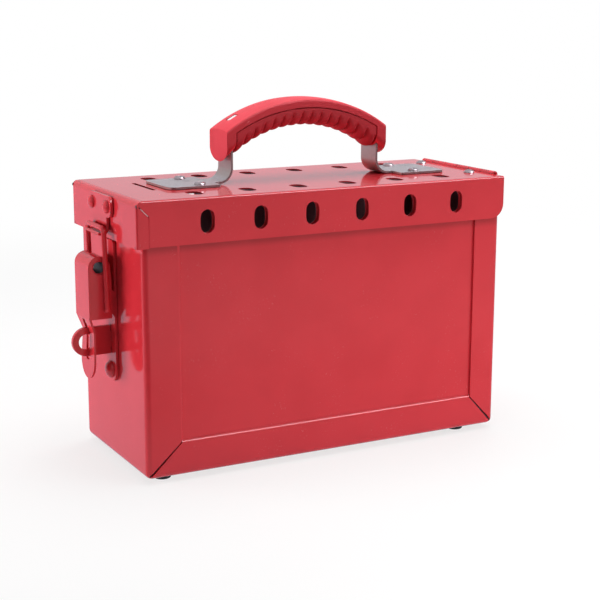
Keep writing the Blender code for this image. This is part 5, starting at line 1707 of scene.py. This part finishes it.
    def build_insert(self) -> None:
        """Loft the insert, with a tongue up to the cover and a groove between each two ribs."""
        count = self.ribs * self.rib_steps
        tip = self.crown_radius - self.insert_depth
        half = self.half_width - self.insert_setback
        tongue = half - self.gap_depth
        sections = []
        for i in range(count + 1):
            along = self.insert_half_length * (2 * i / count - 1)
            phase = 1 - 2 * abs(i / self.rib_steps - round(i / self.rib_steps))
            groove = self.rib_depth * (1 - math.sqrt(1 - (NEARLY_ONE * phase) ** 2))
            seam = self.seam_level(along) - self.gap
            shoulder = self.level(tip, along) + self.insert_belly
            raised = seam + self.gap - TOUCH
            line = [(half, seam), (tongue, seam), (tongue, raised),
                    (-tongue, raised), (-tongue, seam), (-half, seam)]
            line += self.belly_line(half, shoulder, self.insert_belly, groove)
            sections.append([(self.centre + along, y, z) for y, z in line])
        insert = Skin().loft(sections).piece("grip_ribs")
        self.shop.hang(insert, Finish.INSERT, Slot.PLASTIC, Carrier.LID, "grip_insert", smooth=True)

    def build(self) -> None:
        """Build both mouldings and the tabs in the windows."""
        self.build_cover()
        self.build_insert()
        self.build_tabs()


@dataclass
class RolledHinge:
    """The hinge at the right end: two curled leaves, kept, and a turned pin."""

    shop: Workshop
    leaf_edge: float = 0.15 * MM
    pin_radius: float = 0.88 * MM
    pin_edge: float = 0.2 * MM
    pin_sides: int = 32

    def build(self) -> None:
        """Dress the leaves and turn the pin."""
        for name in ("hinge_leaf_body", "hinge_leaf_lid"):
            self.shop.keep(name, Finish.ENAMEL, self.leaf_edge)
        low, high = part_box("hinge_pin")
        length = high.y - low.y
        radius, edge = self.pin_radius, self.pin_edge
        profile = [(0, 0), (radius - edge, 0), (radius, edge), (radius, length - edge),
                   (radius - edge, length), (0, length)]
        start = ((low.x + high.x) / 2, low.y, (low.z + high.z) / 2)
        pin = Skin().turned(profile, start, TO_BACK, self.pin_sides).piece("turned_hinge_pin")
        self.shop.hang(pin, Finish.STEEL, Slot.RIVET, Carrier.BOX, "hinge_pin", smooth=True)


@dataclass
class DrawLatch:
    """The latch on the left end: base, eye, lever, keeper, tube pin and wire bail."""

    shop: Workshop
    plate_edge: float = 0.3 * MM
    wire: float = 1.5 * MM
    wire_sides: int = 28
    corner: float = 3.2 * MM
    bail_pivot: Pair = (-113.025 * MM, 92.5 * MM)
    bail_bar: Pair = (-114.175 * MM, 138.6 * MM)
    leg_y: float = 12.85 * MM
    end_y: float = 8.9 * MM
    pin_radius: float = 3.85 * MM
    pin_bore: float = 3.35 * MM
    pin_edge: float = 0.15 * MM
    pin_sides: int = 56
    bore_start: float = 1.2 * MM
    bore_wall: float = 0.15 * MM

    def build_bail(self) -> None:
        """Bend the wire: a bar over the hook, two legs and two ends turned into the lever."""
        low = Vector((self.bail_pivot[0], 0, self.bail_pivot[1]))
        rise = Vector((self.bail_bar[0], 0, self.bail_bar[1])) - low
        length = rise.length
        up = rise.normalized()
        flat: list[Pair] = [(self.end_y, 0), (self.leg_y - self.wire * 1.5, 0)]
        flat += arc((self.leg_y - self.wire, self.wire), self.wire, 270, 360, 10)
        flat += arc((self.leg_y - self.corner, length - self.corner), self.corner, 0, 90, 16)
        flat += [(-y, along) for y, along in flat[::-1]]
        path = [low + up * along + Vector((0, y, 0)) for y, along in flat]
        skin = Skin().wire(path, self.wire, self.wire_sides, up.cross(Vector(TO_BACK)))
        bail = skin.piece("wire_bail")
        self.shop.hang(bail, Finish.ENAMEL, Slot.ENAMEL, Carrier.BAIL, "latch_bail", smooth=True)

    def build_pin(self) -> None:
        """Turn the tube that the lever swings on, and a near-black lining in its bore as painted shade.
        """
        low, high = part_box("lever_pin")
        length = high.y - low.y
        start = ((low.x + high.x) / 2, low.y, (low.z + high.z) / 2)
        inner, outer, edge = self.pin_bore, self.pin_radius, self.pin_edge
        tube = [(inner, edge), (inner + edge, 0), (outer - edge, 0), (outer, edge),
                (outer, length - edge), (outer - edge, length), (inner + edge, length),
                (inner, length - edge)]
        pin = Skin().turned(tube, start, TO_BACK, self.pin_sides).piece("lever_tube_pin")
        self.shop.hang(pin, Finish.ENAMEL, Slot.RIVET, Carrier.BOX, "lever_pin", smooth=True)
        # painted shade: a near-black lining inside the bore
        inner, outer = self.pin_bore - self.bore_wall, self.pin_bore - TOUCH
        near, far = self.bore_start, length - self.bore_start
        lining = [(inner, near), (outer, near), (outer, far), (inner, far)]
        bore = Skin().turned(lining, start, TO_BACK, self.pin_sides).piece("lever_tube_bore")
        self.shop.hang(bore, Finish.DARK_SHADE, Slot.RIVET, Carrier.BOX, smooth=True)

    def build(self) -> None:
        """Dress the kept plates, and build the wire and the pin."""
        for name in ("keeper", "latch_base", "latch_lever", "padlock_eye"):
            self.shop.keep(name, Finish.ENAMEL, self.plate_edge)
        self.build_bail()
        self.build_pin()


@dataclass(frozen=True)
class Lamp:
    """A soft box: its name, place, power in watts, width and height, and what it looks at.

    Without an aim it looks at the camera's target.
    """

    name: str
    place: Point
    watts: float
    size: Pair
    aim: Point | None = None


@dataclass
class Studio:
    """White sweep, soft light and the photograph's camera."""

    azimuth: float = 28.129
    elevation: float = 12.392
    roll: float = 0.165
    distance: float = 0.837796
    target: Point = (15.532 * MM, 0.0, 83.086 * MM)
    lens: float = 82.881
    sensor: float = 36.0
    shift: Pair = (-0.00219, 0.0002)
    clip: Pair = (0.05, 50.0)
    sweep_radii: tuple[float, ...] = (0.3, 0.8, 2.0, 5.0)
    sweep_sides: int = 64
    ambient: float = 0.12
    wall_tone: float = 0.63
    dark_tone: float = 0.10
    dark_in_front: Pair = (0.45, 0.80)
    dark_below: Pair = (0.45, 0.25)
    key_tone: float = 9.0
    key_way: Point = (0.478, -0.62, 0.622)
    key_round: Pair = (0.925, 0.960)
    mirrored_tint: Colour = (0.985, 0.98, 1.06)
    lamps: tuple[Lamp, ...] = (
        Lamp("top_box", (0.05, 0.0, 1.05), 5.7, (0.7, 0.7)),
        Lamp("strip_box", (0.10, -0.02, 0.60), 1.4, (0.5, 0.35)),
        Lamp("back_box", (0.10, 0.70, 0.90), 1.0, (0.7, 0.7)),
        Lamp("left_box", (-0.70, 0.35, 0.12), 4.5, (0.4, 0.2)),
        Lamp("right_box", (0.70, 0.55, 0.30), 2.5, (0.5, 0.4)),
        Lamp("front_card", (0.14, -0.27, 0.012), 0.60, (0.50, 0.10), (0.05, -0.06, 0.06)),
        Lamp("key_box", (0.40, -0.55, 0.66), 0.90, (0.34, 0.12)))

    def world(self) -> None:
        """Make the room: white to the camera, a lower even light on surfaces.

        In reflections it has a wall tone, a dark side in front and one bright patch, the key.
        """
        world = bpy.data.worlds.new("white_studio")
        bpy.context.scene.world = world
        world.use_nodes = True
        graph = Graph(world.node_tree)
        direction = graph.add("ShaderNodeTexCoord", output="Generated")
        height = graph.reach(direction, UPWARD)
        dark = graph.reach(direction, TO_FRONT).between(*self.dark_in_front) \
            * height.between(*self.dark_below)
        key = graph.reach(direction, self.key_way).between(*self.key_round)
        mirrored = self.wall_tone - dark * (self.wall_tone - self.dark_tone) + key * self.key_tone
        camera, other = graph.rays()
        strength = self.ambient + camera * (1.0 - self.ambient) + other * (mirrored - self.ambient)
        tint = graph.blend(other, WHITE, self.mirrored_tint)
        sky = graph.add("ShaderNodeBackground", None, {"Color": tint, "Strength": strength})
        graph.add("ShaderNodeOutputWorld", None, {"Surface": sky})

    def floor(self) -> None:
        """Lay the round sweep."""
        skin = Skin()
        turns = [math.tau * i / self.sweep_sides for i in range(self.sweep_sides)]
        rings = [skin.ring([(radius * math.cos(a), radius * math.sin(a), 0) for a in turns])
                 for radius in self.sweep_radii]
        skin.builder.faces.new(rings[0])
        skin.bridge(rings)
        sweep = skin.piece("sweep")
        sweep.data.materials.append(PaperFloor().make())

    def hang(self, lamp: Lamp) -> None:
        """Hang a soft box, whose mirror image the world and the floor give.

        Args:
            lamp: The soft box.
        """
        light = bpy.data.lights.new(lamp.name, "AREA")
        light.shape = "RECTANGLE"
        light.size, light.size_y = lamp.size
        light.energy = lamp.watts
        hung = bpy.data.objects.new(lamp.name, light)
        bpy.context.scene.collection.objects.link(hung)
        hung.location = lamp.place
        look = Vector(lamp.aim or self.target) - Vector(lamp.place)
        hung.rotation_euler = look.to_track_quat("-Z", "Y").to_euler()
        hung.visible_glossy = False
        hung.visible_camera = False

    def camera(self) -> None:
        """Stand the camera where the photograph was taken."""
        across, lift, tilt = (math.radians(a) for a in (self.azimuth, self.elevation, self.roll))
        forward = Vector((math.sin(across) * math.cos(lift), math.cos(across) * math.cos(lift),
                          -math.sin(lift)))
        right = Vector((math.cos(across), -math.sin(across), 0))
        up = right.cross(forward)
        level = right * math.cos(tilt) + up * math.sin(tilt)
        upright = up * math.cos(tilt) - right * math.sin(tilt)
        data = bpy.data.cameras.new("photo_camera")
        data.lens = self.lens
        data.sensor_width = self.sensor
        data.shift_x, data.shift_y = self.shift
        data.clip_start, data.clip_end = self.clip
        camera = bpy.data.objects.new("photo_camera", data)
        bpy.context.scene.collection.objects.link(camera)
        matrix = Matrix((level, upright, -forward)).transposed().to_4x4()
        matrix.translation = Vector(self.target) - forward * self.distance
        camera.matrix_world = matrix
        bpy.context.scene.camera = camera

    def build(self) -> None:
        """Set everything up."""
        self.world()
        self.floor()
        for lamp in self.lamps:
            self.hang(lamp)
        self.camera()
        bpy.context.scene.view_settings.view_transform = "Standard"


def clear_strays() -> None:
    """Remove what the start-up file holds beside the frame."""
    ours = set(frame["nodes"].values()) | set(frame["bodies"].values())
    for stray in [thing for thing in bpy.data.objects if thing not in ours]:
        bpy.data.objects.remove(stray)


def main() -> None:
    """Build every piece, the studio and the camera."""
    logging.basicConfig(level=logging.INFO, format="%(name)s: %(message)s")
    clear_strays()
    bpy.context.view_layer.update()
    shop = Workshop(frame["nodes"])
    builders: list[Callable[[], None]] = [
        SheetBox(shop).build, Feet(shop).build, Fasteners(shop).build, StrapHandle(shop).build,
        MouldedGrip(shop).build, RolledHinge(shop).build, DrawLatch(shop).build, Studio().build]
    for build in builders:
        build()


if __name__ == "__main__":
    main()
